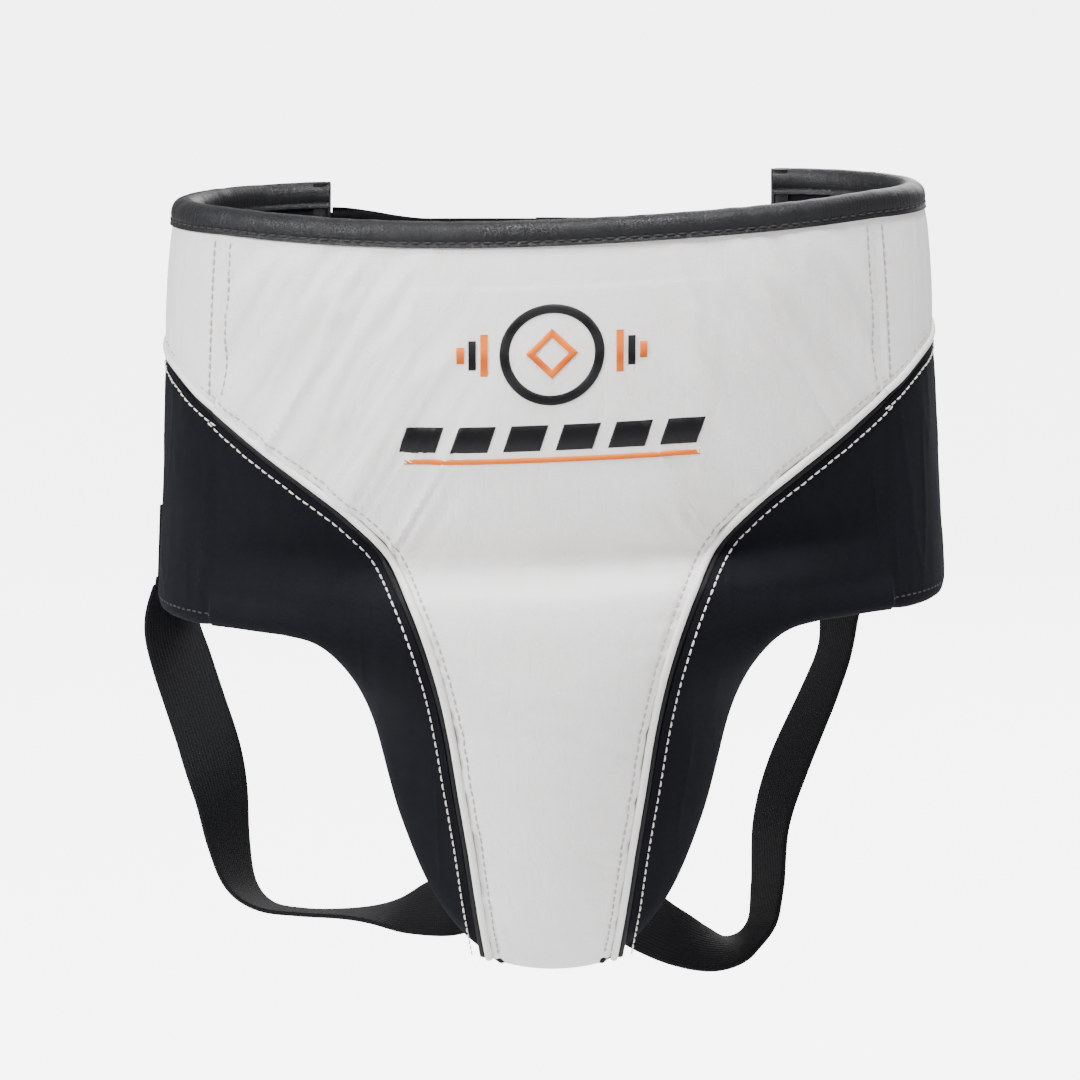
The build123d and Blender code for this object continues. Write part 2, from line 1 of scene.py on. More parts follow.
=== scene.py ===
import math
import bmesh
import bpy
import numpy as np
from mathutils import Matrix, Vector


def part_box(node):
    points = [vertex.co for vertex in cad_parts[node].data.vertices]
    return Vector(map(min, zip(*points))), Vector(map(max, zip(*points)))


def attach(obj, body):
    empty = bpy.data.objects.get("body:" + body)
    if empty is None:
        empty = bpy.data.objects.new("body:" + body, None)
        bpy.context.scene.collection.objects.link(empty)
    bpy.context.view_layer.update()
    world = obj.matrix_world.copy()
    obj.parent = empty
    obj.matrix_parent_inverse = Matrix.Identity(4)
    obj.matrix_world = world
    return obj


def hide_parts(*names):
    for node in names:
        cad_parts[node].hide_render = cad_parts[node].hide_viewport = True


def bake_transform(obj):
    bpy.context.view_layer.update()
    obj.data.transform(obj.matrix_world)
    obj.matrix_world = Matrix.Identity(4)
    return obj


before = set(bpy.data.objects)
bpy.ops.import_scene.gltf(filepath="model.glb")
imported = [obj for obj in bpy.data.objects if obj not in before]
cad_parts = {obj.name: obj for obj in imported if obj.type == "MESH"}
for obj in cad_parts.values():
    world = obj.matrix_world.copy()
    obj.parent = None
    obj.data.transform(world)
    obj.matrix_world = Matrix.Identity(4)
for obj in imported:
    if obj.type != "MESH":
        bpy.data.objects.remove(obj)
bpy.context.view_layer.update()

mm = 0.001  # shapes are worked out in millimetres and put into meshes in metres


def nodeBox(name):
    low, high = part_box(name)
    return np.array(low) / mm, np.array(high) / mm


# Plan and height of the whole guard.
guard = {
    "frontReach": 100.0,  # origin to the outer face of the front arc
    "sideRadius": 78.0,  # outer radius of each wing
    "pad": 14.0,  # wall thickness
    "skin": 1.6,
    "lining": 1.0,
    "topPinch": 3.2,  # how far each face draws in under the top binding
    "pinchLength": 12.0,
    "rightLift": 4.4,  # the soft belt sits higher on the right, lower on the left
    "frontDip": 4.0,  # the top edge sags in the middle of the front
    "leanTop": (-4.5, -8.0),  # how far the left and right wings lean in at the top and out at the hem
    "leanHem": 4.5,
    "grooveDepth": 1.3,  # the fold lines between front and wings
    "grooveWidth": 3.0,
}
halfWidth = nodeBox("right_wing_suede")[1][0]
rearY = nodeBox("right_wing_binding")[1][1]
hemZ = nodeBox("right_wing_lining")[0][2]
lowestZ = nodeBox("front_leather")[0][2]
leatherTop = nodeBox("front_leather")[1][2]
sideX = halfWidth - guard["sideRadius"]
sideY = rearY - guard["sideRadius"]
reachY = guard["frontReach"] + sideY
frontRadius = (reachY**2 + sideX**2 - guard["sideRadius"] ** 2) / (2 * (reachY - guard["sideRadius"]))
frontCentreY = frontRadius - guard["frontReach"]
foldShare = frontRadius / (frontRadius - guard["sideRadius"])
foldX = sideX * foldShare
foldY = frontCentreY + (sideY - frontCentreY) * foldShare
foldTurn = math.atan2(foldY - sideY, foldX - sideX)
endS = foldX + guard["sideRadius"] * (math.pi / 2 - foldTurn)  # wall coordinate of a wing's rear end

# Height, outer face on the middle line, half width of the section and the y of its edges.
frontLevels = np.array([
    (12.0, -96.5, foldX, foldY),
    (0.0, -97.0, foldX, foldY),
    (-38.0, -101.0, foldX, foldY),
    (-80.0, -103.5, foldX, foldY),
    (-112.0, -102.5, foldX, foldY),
    (-142.0, -97.0, foldX, foldY),
    (-157.0, -88.3, foldX, foldY),
    (-163.0, -88.8, foldX, foldY),
    (-171.0, -98.3, foldX, foldY),
    (-179.0, -106.0, foldX, foldY),
    (-199.0, -109.0, foldX, foldY),
    (-236.0, -107.5, 95.0, -40.0),
    (-290.0, -95.0, 80.0, -42.0),
    (-340.0, -72.5, 62.0, -46.0),
    (-378.0, -43.0, 46.0, -28.0),
])
seamPoints = np.array([
    (foldX, -92.0), (134.0, -109.0), (112.0, -124.0), (92.0, -139.0), (75.0, -157.0), (62.0, -181.0),
    (52.0, -210.0), (45.5, -240.0), (41.0, -270.0), (36.5, -300.0), (33.0, -328.0), (28.0, -365.0),
])
legPoints = np.array([
    (126.0, hemZ), (113.0, hemZ - 2.5), (103.0, hemZ - 10.0), (94.0, hemZ - 24.0), (87.5, hemZ - 45.0),
    (81.0, hemZ - 70.0), (73.0, hemZ - 97.0), (61.0, hemZ - 126.0), (45.0, hemZ - 150.0),
    (26.0, lowestZ + 4.0),
])
wingSeamPoints = np.array([(foldY, -92.0), (-22.0, -77.0), (sideY, -66.0), (60.0, -61.0), (rearY, -58.0)])
wingHemPoints = np.array([(foldY, hemZ), (sideY, hemZ), (0.6 * rearY, hemZ + 7.0), (rearY, hemZ + 22.0)])


def smoothStep(low, high, value):
    share = np.clip((value - low) / (high - low), 0.0, 1.0)
    return share * share * (3.0 - 2.0 * share)


def unit(vectors):
    return vectors / np.maximum(np.linalg.norm(vectors, axis=-1, keepdims=True), 1e-9)


def lengthAlong(line):
    return np.concatenate([[0], np.cumsum(np.linalg.norm(np.diff(line, axis=0), axis=1))])


def evenly(line, count):
    along = lengthAlong(line)
    want = np.linspace(0, along[-1], count)
    return np.stack([np.interp(want, along, line[:, k]) for k in range(line.shape[1])], axis=1)


def curveThrough(points, count):
    # A cubic through each point, its slope half the step between its two neighbours, set out in equal steps.
    p = np.asarray(points, float)
    before = np.vstack([2 * p[0] - p[1], p[:-2]])
    after = np.vstack([p[2:], 2 * p[-1] - p[-2]])
    a, b = p[:-1], p[1:]
    t = np.linspace(0, 1, 24, endpoint=False)[:, None, None]
    slopeA, slopeB = (b - before) / 2, (after - a) / 2
    run = (2 * t**3 - 3 * t**2 + 1) * a + (t**3 - 2 * t**2 + t) * slopeA
    run = run + (3 * t**2 - 2 * t**3) * b + (t**3 - t**2) * slopeB
    return evenly(np.vstack([run.transpose(1, 0, 2).reshape(-1, p.shape[1]), p[-1:]]), count)


levelTable = curveThrough(frontLevels[:, :2], 500)
edgeTable = curveThrough(frontLevels[:, [0, 2, 3]], 500)
seamTable = curveThrough(seamPoints, 300)


def readTable(table, column, z):
    return np.interp(-z, -table[:, 0], table[:, column])


def seamX(z):
    return np.interp(-z, -seamTable[:, 1], seamTable[:, 0])


def valueNoise(x, y, seed=0.0):
    # Random heights on a square lattice, joined by smooth steps.
    ix, iy = np.floor(x), np.floor(y)
    fx, fy = x - ix, y - iy
    fx, fy = fx * fx * (3 - 2 * fx), fy * fy * (3 - 2 * fy)

    def pick(a, b):
        h = np.sin(a * 127.1 + b * 311.7 + seed * 74.7) * 43758.5453
        return h - np.floor(h)

    low = pick(ix, iy) * (1 - fx) + pick(ix + 1, iy) * fx
    high = pick(ix, iy + 1) * (1 - fx) + pick(ix + 1, iy + 1) * fx
    return low * (1 - fy) + high * fy


def frontY(x, z):
    # A section of the front is an arc through its middle and its two edges.
    middle = readTable(levelTable, 1, z)
    edgeX, edgeY = readTable(edgeTable, 1, z), readTable(edgeTable, 2, z)
    rise = edgeY - middle
    radius = (edgeX**2 + rise**2) / (2 * rise)
    flat = np.clip(np.abs(x) / radius, 0, 0.985)
    return middle + radius * (1 - np.sqrt(1 - flat**2))


def soften(points):
    # Shear up to the right, sag in the middle of the top edge and lean the wings; all fade out downwards.
    p = np.array(points, float)
    x, y, z = p[..., 0], p[..., 1], p[..., 2]
    belt = smoothStep(-330.0, hemZ, z)
    lift = guard["rightLift"] * np.tanh(x / 110.0) * belt
    inFront = smoothStep(0.0, foldY, y)
    dip = guard["frontDip"] * np.clip(1 - (x / foldX) ** 2, 0, 1) * smoothStep(-75.0, 0.0, z) * inFront
    leanTop = np.where(x < 0, *guard["leanTop"])
    lean = leanTop + (guard["leanHem"] - leanTop) * np.clip(z / hemZ, 0, 1.15)
    wide = smoothStep(100.0, 170.0, np.abs(x)) * smoothStep(-330.0, -215.0, z)
    p[..., 0] = x + np.sign(x) * lean * wide
    p[..., 2] = z + lift - dip
    return p


def wall(s, z, depth=0.0):
    # s is x across the front and arc length round a wing; depth goes inwards along the normal.
    s, z, depth = np.broadcast_arrays(np.asarray(s, float), np.asarray(z, float), np.asarray(depth, float))
    side = np.where(s < 0, -1.0, 1.0)
    x = np.clip(s, -foldX, foldX)
    step = 0.5
    slopeX = (frontY(x + step, z) - frontY(x - step, z)) / (2 * step)
    slopeZ = (frontY(x, z + step) - frontY(x, z - step)) / (2 * step)
    front = np.stack([x, frontY(x, z), z], axis=-1)
    frontOut = unit(np.stack([slopeX, -np.ones_like(x), slopeZ], axis=-1))
    turn = foldTurn + (np.abs(s) - foldX) / guard["sideRadius"]
    wing = np.stack([
        side * (sideX + guard["sideRadius"] * np.cos(turn)), sideY + guard["sideRadius"] * np.sin(turn), z
    ], axis=-1)
    wingOut = np.stack([side * np.cos(turn), np.sin(turn), np.zeros_like(z)], axis=-1)
    onWing = smoothStep(foldX - 14.0, foldX + 14.0, np.abs(s))[..., None]
    place = np.where((np.abs(s) > foldX)[..., None], wing, front)
    out = unit(frontOut * (1 - onWing) + wingOut * onWing)
    return soften(place - out * depth[..., None])


def pinch(z):
    # Both faces draw in towards the top edge, where the binding holds them.
    return guard["topPinch"] * np.exp(np.minimum(z - leatherTop, 0.0) / guard["pinchLength"])


def creases(across, along, seed, sharpness=3.0):
    # Ridges of a stretched noise: highest where the noise passes its middle value.
    noise = valueNoise(across, along, seed) * 0.65 + valueNoise(across * 2.1, along * 1.7, seed + 3) * 0.35
    return (1 - np.abs(2 * noise - 1)) ** sharpness


def groove(s):
    return guard["grooveDepth"] * np.exp(-(((np.abs(s) - foldX) / guard["grooveWidth"]) ** 2))


def leatherLift(s, z):
    # Outward movement of the white leather: diagonal pulls, puckers at the seams,
    # a faint backing, fold grooves.
    lean = np.where(s < 0, 1.0, -1.0)
    across = (s * lean * 0.86 - z * 0.5) / 17.0
    along = (s * lean * 0.5 + z * 0.86) / 120.0
    zone = (smoothStep(20.0, 75.0, np.abs(s)) * smoothStep(leatherTop, -30.0, z)
            * smoothStep(-185.0, -130.0, z))
    strength = np.where(s < 0, 2.8, 1.9)
    lift = zone * strength * (creases(across, along, 2.0, 3.5) - 0.3)
    lift = lift + 0.45 * zone * strength * (creases(across * 3.1, along * 2.2, 6.0, 3.0) - 0.3)
    belly = smoothStep(-175.0, -130.0, z) * smoothStep(0.0, -40.0, z)
    lift = lift + 1.8 * belly * (valueNoise(s / 46.0, z / 34.0, 5.0) - 0.5)
    folds = creases((s * 0.3 + z) / 16.0, (s - z * 0.3) / 60.0, 17.0, 4.0)
    lift = lift + 0.8 * smoothStep(-125.0, -145.0, z) * smoothStep(-170.0, -158.0, z) * (folds - 0.3)
    low = smoothStep(-215.0, -235.0, z) * smoothStep(-350.0, -300.0, z)
    lift = lift - 0.9 * low * creases(z / 15.0 + s / 90.0, s / 60.0, 8.0, 5.0)
    edge = np.where(z < -92.0, np.abs(np.abs(s) - seamX(z)) * 0.75, 40.0)
    pucker = np.exp(-edge / 7.0) * (valueNoise(z / 4.2, np.sign(s) * 3.0, 4.0) - 0.5)
    lift = lift + 1.3 * pucker - 0.9 * np.exp(-edge / 3.5) - 0.5 * np.exp(-(((edge - 2.6) / 1.0) ** 2))
    box = (smoothStep(0.0, 1.5, 76.0 - np.abs(s) + (z + 75.0) * 0.12)
           * smoothStep(0.0, 1.5, 44.0 - np.abs(z + 74.0)))
    lift = lift + 0.35 * box
    rightPull = smoothStep(105.0, 125.0, s) * smoothStep(foldX, 148.0, s) * smoothStep(-110.0, -70.0, z)
    lift = lift + 0.8 * rightPull * smoothStep(leatherTop, -25.0, z) * (creases(s / 8.0, z / 60.0, 9.0) - 0.3)
    return lift - groove(s) * smoothStep(-12.0, -22.0, z)


def gridFaces(rows, columns, first=0, wrap=False):
    i = np.arange(rows - 1)[:, None] * columns
    j = np.arange(columns if wrap else columns - 1)[None, :]
    k = (j + 1) % columns
    return first + np.stack([i + j, i + k, i + columns + k, i + columns + j], axis=-1).reshape(-1, 4)


def makePiece(name, points, faces, material, uv=None):
    # Points and uv in millimetres, one uv pair a point; faces are turned outwards.
    mesh = bpy.data.meshes.new(name)
    mesh.from_pydata((np.asarray(points, float).reshape(-1, 3) * mm).tolist(), [], faces)
    mesh.update()
    if uv is not None:
        sheet = mesh.uv_layers.new(name="UVMap")
        corner = np.zeros(len(mesh.loops), np.int32)
        mesh.loops.foreach_get("vertex_index", corner)
        sheet.data.foreach_set("uv",
                               (np.asarray(uv, float).reshape(-1, 2) * mm)[corner].astype(np.float32).ravel())
    shape = bmesh.new()
    shape.from_mesh(mesh)
    bmesh.ops.recalc_face_normals(shape, faces=shape.faces)
    shape.to_mesh(mesh)
    shape.free()
    mesh.polygons.foreach_set("use_smooth", np.ones(len(mesh.polygons), bool))
    piece = bpy.data.objects.new(name, mesh)
    bpy.context.scene.collection.objects.link(piece)
    mesh.materials.append(material)
    return piece


def closedSheet(name, outer, inner, uv, material):
    # Two grids of one shape, joined round their borders.
    rows, columns = outer.shape[:2]
    count = rows * columns
    top = gridFaces(rows, columns)
    under = gridFaces(rows, columns, count)[:, ::-1]
    ids = np.arange(count).reshape(rows, columns)
    border = np.concatenate([ids[0, :-1], ids[:-1, -1], ids[-1, :0:-1], ids[:0:-1, 0]])
    onward = np.roll(border, -1)
    rim = np.stack([border, border + count, onward + count, onward], axis=1)
    faces = np.vstack([top, under, rim]).tolist()
    points = np.vstack([outer.reshape(-1, 3), inner.reshape(-1, 3)])
    piece = makePiece(name, points, faces, material, np.vstack([uv.reshape(-1, 2), uv.reshape(-1, 2)]))
    piece.data.set_sharp_from_angle(angle=math.radians(50))
    return piece


def layer(name, s, z, near, far, material):
    # A sheet of the wall between two depths, each a number or one value for each grid point.
    s, z = np.broadcast_arrays(s, z)
    return closedSheet(name, wall(s, z, near), wall(s, z, far), np.stack([s, z], axis=-1), material)


def tube(name, line, outward, profile, material):
    # A closed profile of (sideways, outward) offsets carried along a line that has an outward direction.
    run = unit(np.gradient(line, axis=0))
    sideways = unit(np.cross(outward, run))
    up = unit(np.cross(run, sideways))
    grid = (line[:, None, :] + sideways[:, None, :] * profile[None, :, :1]
            + up[:, None, :] * profile[None, :, 1:])
    count, around = grid.shape[:2]
    uv = np.stack(np.broadcast_arrays(lengthAlong(profile)[None, :], lengthAlong(line)[:, None]), axis=-1)
    faces = gridFaces(count, around, wrap=True).tolist()
    faces += [list(range(around)), list(range((count - 1) * around, count * around))]
    return makePiece(name, grid, faces, material, uv)


def roundProfile(width, height, count=12):
    a = np.linspace(0, 2 * math.pi, count, endpoint=False)
    return np.stack([width / 2 * np.cos(a), height / 2 * np.sin(a)], axis=1)


def flatProfile(width, height, count=9):
    # A flat band with rounded edges.
    half = width / 2 - height / 4
    x = np.linspace(-half, half, count)
    side = np.linspace(-math.pi / 2, math.pi / 2, 5)[1:-1]
    right = np.stack([half + height / 4 * np.cos(side), height / 2 * np.sin(side)], axis=1)
    lower = np.stack([x, np.full_like(x, -height / 2)], axis=1)
    upper = np.stack([x[::-1], np.full_like(x, height / 2)], axis=1)
    return np.vstack([lower, right, upper, right[::-1] * np.array([-1.0, 1.0])])


def outwardAt(s, z, depth=0.0):
    return unit(wall(s, z, np.asarray(depth) - 1.0) - wall(s, z, depth))


stitchShape = {"length": 3.3, "pitch": 4.3, "width": 0.95, "height": 0.75}


def stitches(name, line, outward, material, pitch=None, length=None, width=None):
    # One rounded thread after another along a line, each dipping into the cloth at both ends.
    pitch, length = pitch or stitchShape["pitch"], length or stitchShape["length"]
    width, height = width or stitchShape["width"], stitchShape["height"]
    along = lengthAlong(line)
    starts = np.arange(pitch / 2, along[-1] - pitch / 4, pitch)
    rings = np.array([-0.5, -0.36, 0.0, 0.36, 0.5])
    fat = np.array([0.25, 0.85, 1.0, 0.85, 0.25])
    drop = np.array([-0.8, -0.2, 0.0, -0.2, -0.8]) * height
    want = starts[:, None] + rings[None, :] * length

    def read(values):
        return np.stack([np.interp(want, along, values[:, k]) for k in range(3)], axis=-1)

    centre, up = read(line), unit(read(outward))
    run = unit(np.gradient(centre, axis=1))
    sideways = unit(np.cross(up, run))
    a = np.linspace(0, 2 * math.pi, 6, endpoint=False)
    centre = centre + up * (drop + height * 0.35)[None, :, None]
    ring = (sideways[:, :, None, :] * (np.cos(a) * width / 2)[None, None, :, None]
            + up[:, :, None, :] * (np.sin(a) * height / 2)[None, None, :, None])
    points = centre[:, :, None, :] + ring * fat[None, :, None, None]
    first = (np.arange(len(starts)) * 30)[:, None, None]
    quads = (gridFaces(5, 6, wrap=True)[None] + first).reshape(-1, 4).tolist()
    caps = (np.stack([np.arange(6), np.arange(6) + 24])[None] + first).reshape(-1, 6).tolist()
    uv = np.stack(np.broadcast_arrays(want[:, :, None], a[None, None, :]), axis=-1)
    return makePiece(name, points, quads + caps, material, uv)


sides = (("left", -1.0), ("right", 1.0))
blendRun = 12.0  # a distance past the fold; rideWing works out a point this far round the wing but does not use it


def rideWing(piece, side):
    start = wall(side * (foldX - 0.5), -90.0) * mm
    finish = wall(side * (foldX + blendRun), -90.0) * mm
    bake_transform(piece)


print("shared shapes ready")


# Finishes. A group gives a height and a mask; the shader stays in each material.
def nodeGroup(name, inputs, outputs):
    tree = bpy.data.node_groups.new(name, "ShaderNodeTree")
    for label, value in inputs:
        socket = tree.interface.new_socket(label, in_out="INPUT", socket_type="NodeSocketFloat")
        socket.default_value = value
    for label in outputs:
        tree.interface.new_socket(label, in_out="OUTPUT", socket_type="NodeSocketFloat")
    return tree, tree.nodes.new("NodeGroupInput"), tree.nodes.new("NodeGroupOutput")


def mathNode(tree, kind, first, second, third=None):
    node = tree.nodes.new("ShaderNodeMath")
    node.operation = kind
    for slot, value in enumerate((first, second, third)):
        if value is None:
            continue
        if isinstance(value, (int, float)):
            node.inputs[slot].default_value = value
        else:
            tree.links.new(value, node.inputs[slot])
    return node.outputs[0]


def noiseNode(tree, vector, scale, detail=2.0, roughness=0.5):
    node = tree.nodes.new("ShaderNodeTexNoise")
    tree.links.new(vector, node.inputs["Vector"])
    if isinstance(scale, (int, float)):
        node.inputs["Scale"].default_value = scale
    else:
        tree.links.new(scale, node.inputs["Scale"])
    node.inputs["Detail"].default_value = detail
    node.inputs["Roughness"].default_value = roughness
    return node.outputs["Fac"]


def leatherGroup():
    # Pebbled grain: cells with soft valleys, broken by fine noise, with a few larger blemishes.
    tree, given, result = nodeGroup(
        "leatherGrain", [("Cells", 900.0), ("Fine", 2600.0), ("Creasing", 0.0)], ["Height", "Blotch"])
    place = tree.nodes.new("ShaderNodeTexCoord").outputs["Object"]
    cells = tree.nodes.new("ShaderNodeTexVoronoi")
    cells.feature = "DISTANCE_TO_EDGE"
    tree.links.new(place, cells.inputs["Vector"])
    tree.links.new(given.outputs["Cells"], cells.inputs["Scale"])
    pebble = mathNode(tree, "SMOOTH_MIN", cells.outputs["Distance"], 0.16, 0.1)
    fine = noiseNode(tree, place, given.outputs["Fine"], 3.0)
    height = mathNode(tree, "MULTIPLY_ADD", fine, 0.35, mathNode(tree, "MULTIPLY", pebble, 4.0))
    slant = tree.nodes.new("ShaderNodeMapping")
    slant.inputs["Rotation"].default_value = (0.0, math.radians(32.0), 0.0)
    slant.inputs["Scale"].default_value = (1.0, 1.0, 0.22)
    tree.links.new(place, slant.inputs["Vector"])
    crease = mathNode(tree, "ABSOLUTE",
                      mathNode(tree, "SUBTRACT", noiseNode(tree, slant.outputs[0], 150.0), 0.5), 0.0)
    crease = mathNode(tree, "POWER", mathNode(tree, "MULTIPLY_ADD", crease, -4.0, 1.0), 3.0)
    patch = mathNode(tree, "MULTIPLY", noiseNode(tree, place, 14.0, 2.0), given.outputs["Creasing"])
    height = mathNode(tree, "MULTIPLY_ADD", crease, mathNode(tree, "MULTIPLY", patch, -1.0), height)
    tree.links.new(height, result.inputs["Height"])
    tree.links.new(noiseNode(tree, place, 22.0, 4.0, 0.6), result.inputs["Blotch"])
    return tree


def napGroup():
    # Short soft nap: fine noise with broad brushed patches.
    tree, given, result = nodeGroup("suedeNap", [("Fine", 2200.0), ("Brush", 30.0)], ["Height", "Brushed"])
    place = tree.nodes.new("ShaderNodeTexCoord").outputs["Object"]
    tree.links.new(noiseNode(tree, place, given.outputs["Fine"], 3.0, 0.7), result.inputs["Height"])
    tree.links.new(noiseNode(tree, place, given.outputs["Brush"], 3.0, 0.6), result.inputs["Brushed"])
    return tree


def weaveGroup():
    # Woven threads in the piece's own UV: two sine ridges, one across the other, taking turns on top.
    tree, given, result = nodeGroup("clothWeave", [("Across", 900.0), ("Along", 900.0)], ["Height", "Thread"])
    place = tree.nodes.new("ShaderNodeUVMap").outputs["UV"]
    split = tree.nodes.new("ShaderNodeSeparateXYZ")
    tree.links.new(place, split.inputs[0])
    turn = 2 * math.pi
    u = mathNode(tree, "MULTIPLY", mathNode(tree, "MULTIPLY", split.outputs[0], given.outputs["Across"]),
                 turn)
    v = mathNode(tree, "MULTIPLY", mathNode(tree, "MULTIPLY", split.outputs[1], given.outputs["Along"]), turn)
    rows = mathNode(tree, "ABSOLUTE", mathNode(tree, "SINE", u, 0.0), 0.0)
    columns = mathNode(tree, "ABSOLUTE", mathNode(tree, "SINE", v, 0.0), 0.0)
    height = mathNode(tree, "MAXIMUM", rows, mathNode(tree, "MULTIPLY", columns, 0.85))
    tree.links.new(height, result.inputs["Height"])
    tree.links.new(mathNode(tree, "MULTIPLY", rows, columns), result.inputs["Thread"])
    return tree


def dustGroup():
    # Pale dust and handling marks, heavier on faces that look up.
    tree, given, result = nodeGroup("handlingDust", [("Amount", 0.3)], ["Mask"])
    place = tree.nodes.new("ShaderNodeTexCoord").outputs["Object"]
    up = tree.nodes.new("ShaderNodeSeparateXYZ")
    tree.links.new(tree.nodes.new("ShaderNodeNewGeometry").outputs["Normal"], up.inputs[0])
    patch = noiseNode(tree, place, 35.0, 5.0, 0.65)
    speck = noiseNode(tree, place, 900.0, 2.0, 0.5)
    level = mathNode(tree, "MULTIPLY_ADD", up.outputs[2], 0.15, mathNode(tree, "MULTIPLY", patch, speck))
    soft = tree.nodes.new("ShaderNodeMapRange")
    soft.inputs["From Min"].default_value = 0.22
    soft.inputs["From Max"].default_value = 0.55
    tree.links.new(level, soft.inputs["Value"])
    tree.links.new(mathNode(tree, "MULTIPLY", soft.outputs[0], given.outputs["Amount"]),
                   result.inputs["Mask"])
    return tree


groups = {"leather": leatherGroup(), "nap": napGroup(), "weave": weaveGroup(), "dust": dustGroup()}


def placeGroup(tree, name, **values):
    node = tree.nodes.new("ShaderNodeGroup")
    node.node_tree = groups[name]
    for label, value in values.items():
        node.inputs[label].default_value = value
    return node


def mixColour(tree, share, first, second):
    node = tree.nodes.new("ShaderNodeMix")
    node.data_type = "RGBA"
    if isinstance(share, (int, float)):
        node.inputs["Factor"].default_value = share
    else:
        tree.links.new(share, node.inputs["Factor"])
    for socket, value in ((node.inputs[6], first), (node.inputs[7], second)):
        if isinstance(value, tuple):
            socket.default_value = (*value, 1.0)
        else:
            tree.links.new(value, socket)
    return node.outputs[2]


def mapRange(tree, value, low, high, outLow, outHigh):
    node = tree.nodes.new("ShaderNodeMapRange")
    tree.links.new(value, node.inputs["Value"])
    for label, number in (("From Min", low), ("From Max", high), ("To Min", outLow), ("To Max", outHigh)):
        node.inputs[label].default_value = number
    return node.outputs[0]


def finish(name, pattern, colour, shade, roughness, bump, settings=None, dust=0.0,
           dustColour=(0.5, 0.5, 0.5), **given):
    # A pattern group drives colour, roughness and bump; settings go on the shader's own sockets.
    material = bpy.data.materials.new(name)
    material.use_nodes = True
    tree = material.node_tree
    shader = tree.nodes["Principled BSDF"]
    node = placeGroup(tree, pattern, **given)
    height, mask = node.outputs[0], node.outputs[1]
    share = mapRange(tree, mask, 0.3, 0.7, 0.0, 1.0)
    paint = mixColour(tree, share, colour, shade)
    if dust:
        paint = mixColour(tree, placeGroup(tree, "dust", Amount=dust).outputs[0], paint, dustColour)
    tree.links.new(paint, shader.inputs["Base Color"])
    tree.links.new(mapRange(tree, mask, 0.2, 0.8, roughness[0], roughness[1]), shader.inputs["Roughness"])
    raised = tree.nodes.new("ShaderNodeBump")
    raised.inputs["Strength"].default_value = bump[0]
    raised.inputs["Distance"].default_value = bump[1]
    tree.links.new(height, raised.inputs["Height"])
    tree.links.new(raised.outputs[0], shader.inputs["Normal"])
    for label, value in (settings or {}).items():
        shader.inputs[label].default_value = value
    return material


whiteLeather = finish("whiteLeather", "leather", (0.9, 0.89, 0.875), (0.84, 0.825, 0.8), (0.36, 0.5),
                      (0.5, 0.0005), {"Specular IOR Level": 0.5}, Cells=820.0, Fine=2600.0, Creasing=2.2)
whitePiping = finish("whitePiping", "leather", (0.86, 0.85, 0.83), (0.76, 0.75, 0.73), (0.4, 0.55),
                     (0.3, 0.0003), Cells=1100.0, Fine=3000.0)
blackLeather = finish("blackLeather", "leather", (0.0035, 0.0038, 0.005), (0.006, 0.0065, 0.008), (0.34, 0.5),
                      (0.45, 0.0004), {"Specular IOR Level": 0.3}, dust=0.06, dustColour=(0.05, 0.05, 0.055),
                      Cells=850.0, Fine=2600.0)
blackWelt = finish("blackWelt", "leather", (0.0025, 0.0025, 0.0035), (0.004, 0.004, 0.006), (0.5, 0.65),
                   (0.3, 0.0003), {"Specular IOR Level": 0.2}, Cells=1200.0, Fine=3000.0)
navySuede = finish("navySuede", "nap", (0.0024, 0.0026, 0.0042), (0.0044, 0.0048, 0.0074), (0.78, 0.92),
                   (0.5, 0.00035), {"Sheen Weight": 0.02, "Sheen Roughness": 0.4, "Specular IOR Level": 0.1,
                                    "Sheen Tint": (0.55, 0.6, 0.85, 1.0)}, dust=0.05,
                   dustColour=(0.04, 0.04, 0.05), Fine=2400.0, Brush=26.0)
liningCloth = finish("liningCloth", "weave", (0.003, 0.0035, 0.006), (0.006, 0.007, 0.011), (0.75, 0.9),
                     (0.5, 0.0004), {"Sheen Weight": 0.02, "Specular IOR Level": 0.12}, Across=420.0,
                     Along=420.0)
legElastic = finish("legElastic", "weave", (0.0028, 0.003, 0.0038), (0.006, 0.0065, 0.008), (0.62, 0.8),
                    (0.7, 0.0005), {"Sheen Weight": 0.015, "Specular IOR Level": 0.15}, Across=330.0,
                    Along=520.0)
wideElastic = finish("wideElastic", "weave", (0.0028, 0.003, 0.0038), (0.007, 0.0075, 0.009), (0.62, 0.8),
                     (0.8, 0.0008), {"Sheen Weight": 0.015, "Specular IOR Level": 0.15}, Across=90.0,
                     Along=520.0)
hookTape = finish("hookTape", "weave", (0.28, 0.29, 0.29), (0.42, 0.43, 0.43), (0.45, 0.6), (0.9, 0.0007),
                  Across=480.0, Along=480.0)
loopTape = finish("loopTape", "nap", (0.003, 0.003, 0.004), (0.007, 0.007, 0.009), (0.85, 0.95), (0.9, 0.001),
                  {"Sheen Weight": 0.04, "Specular IOR Level": 0.1}, Fine=1500.0, Brush=60.0)
threadWhite = finish("threadWhite", "weave", (0.8, 0.79, 0.77), (0.65, 0.64, 0.62), (0.5, 0.65),
                     (0.4, 0.0002),
                     Across=1200.0, Along=900.0)
# Stitch thread on the white leather, painted grey: the thread itself is white, and the grey is painted shade
# of the stitch holes and dimples it sits in.
threadPaintedShade = finish("threadPaintedShade", "weave", (0.5, 0.49, 0.47), (0.36, 0.355, 0.34), (0.5, 0.65), (0.4, 0.0002),
                    Across=1200.0, Along=900.0)
threadBlack = finish("threadBlack", "weave", (0.008, 0.008, 0.01), (0.016, 0.016, 0.02), (0.45, 0.6),
                     (0.4, 0.0002), Across=1200.0, Along=900.0)
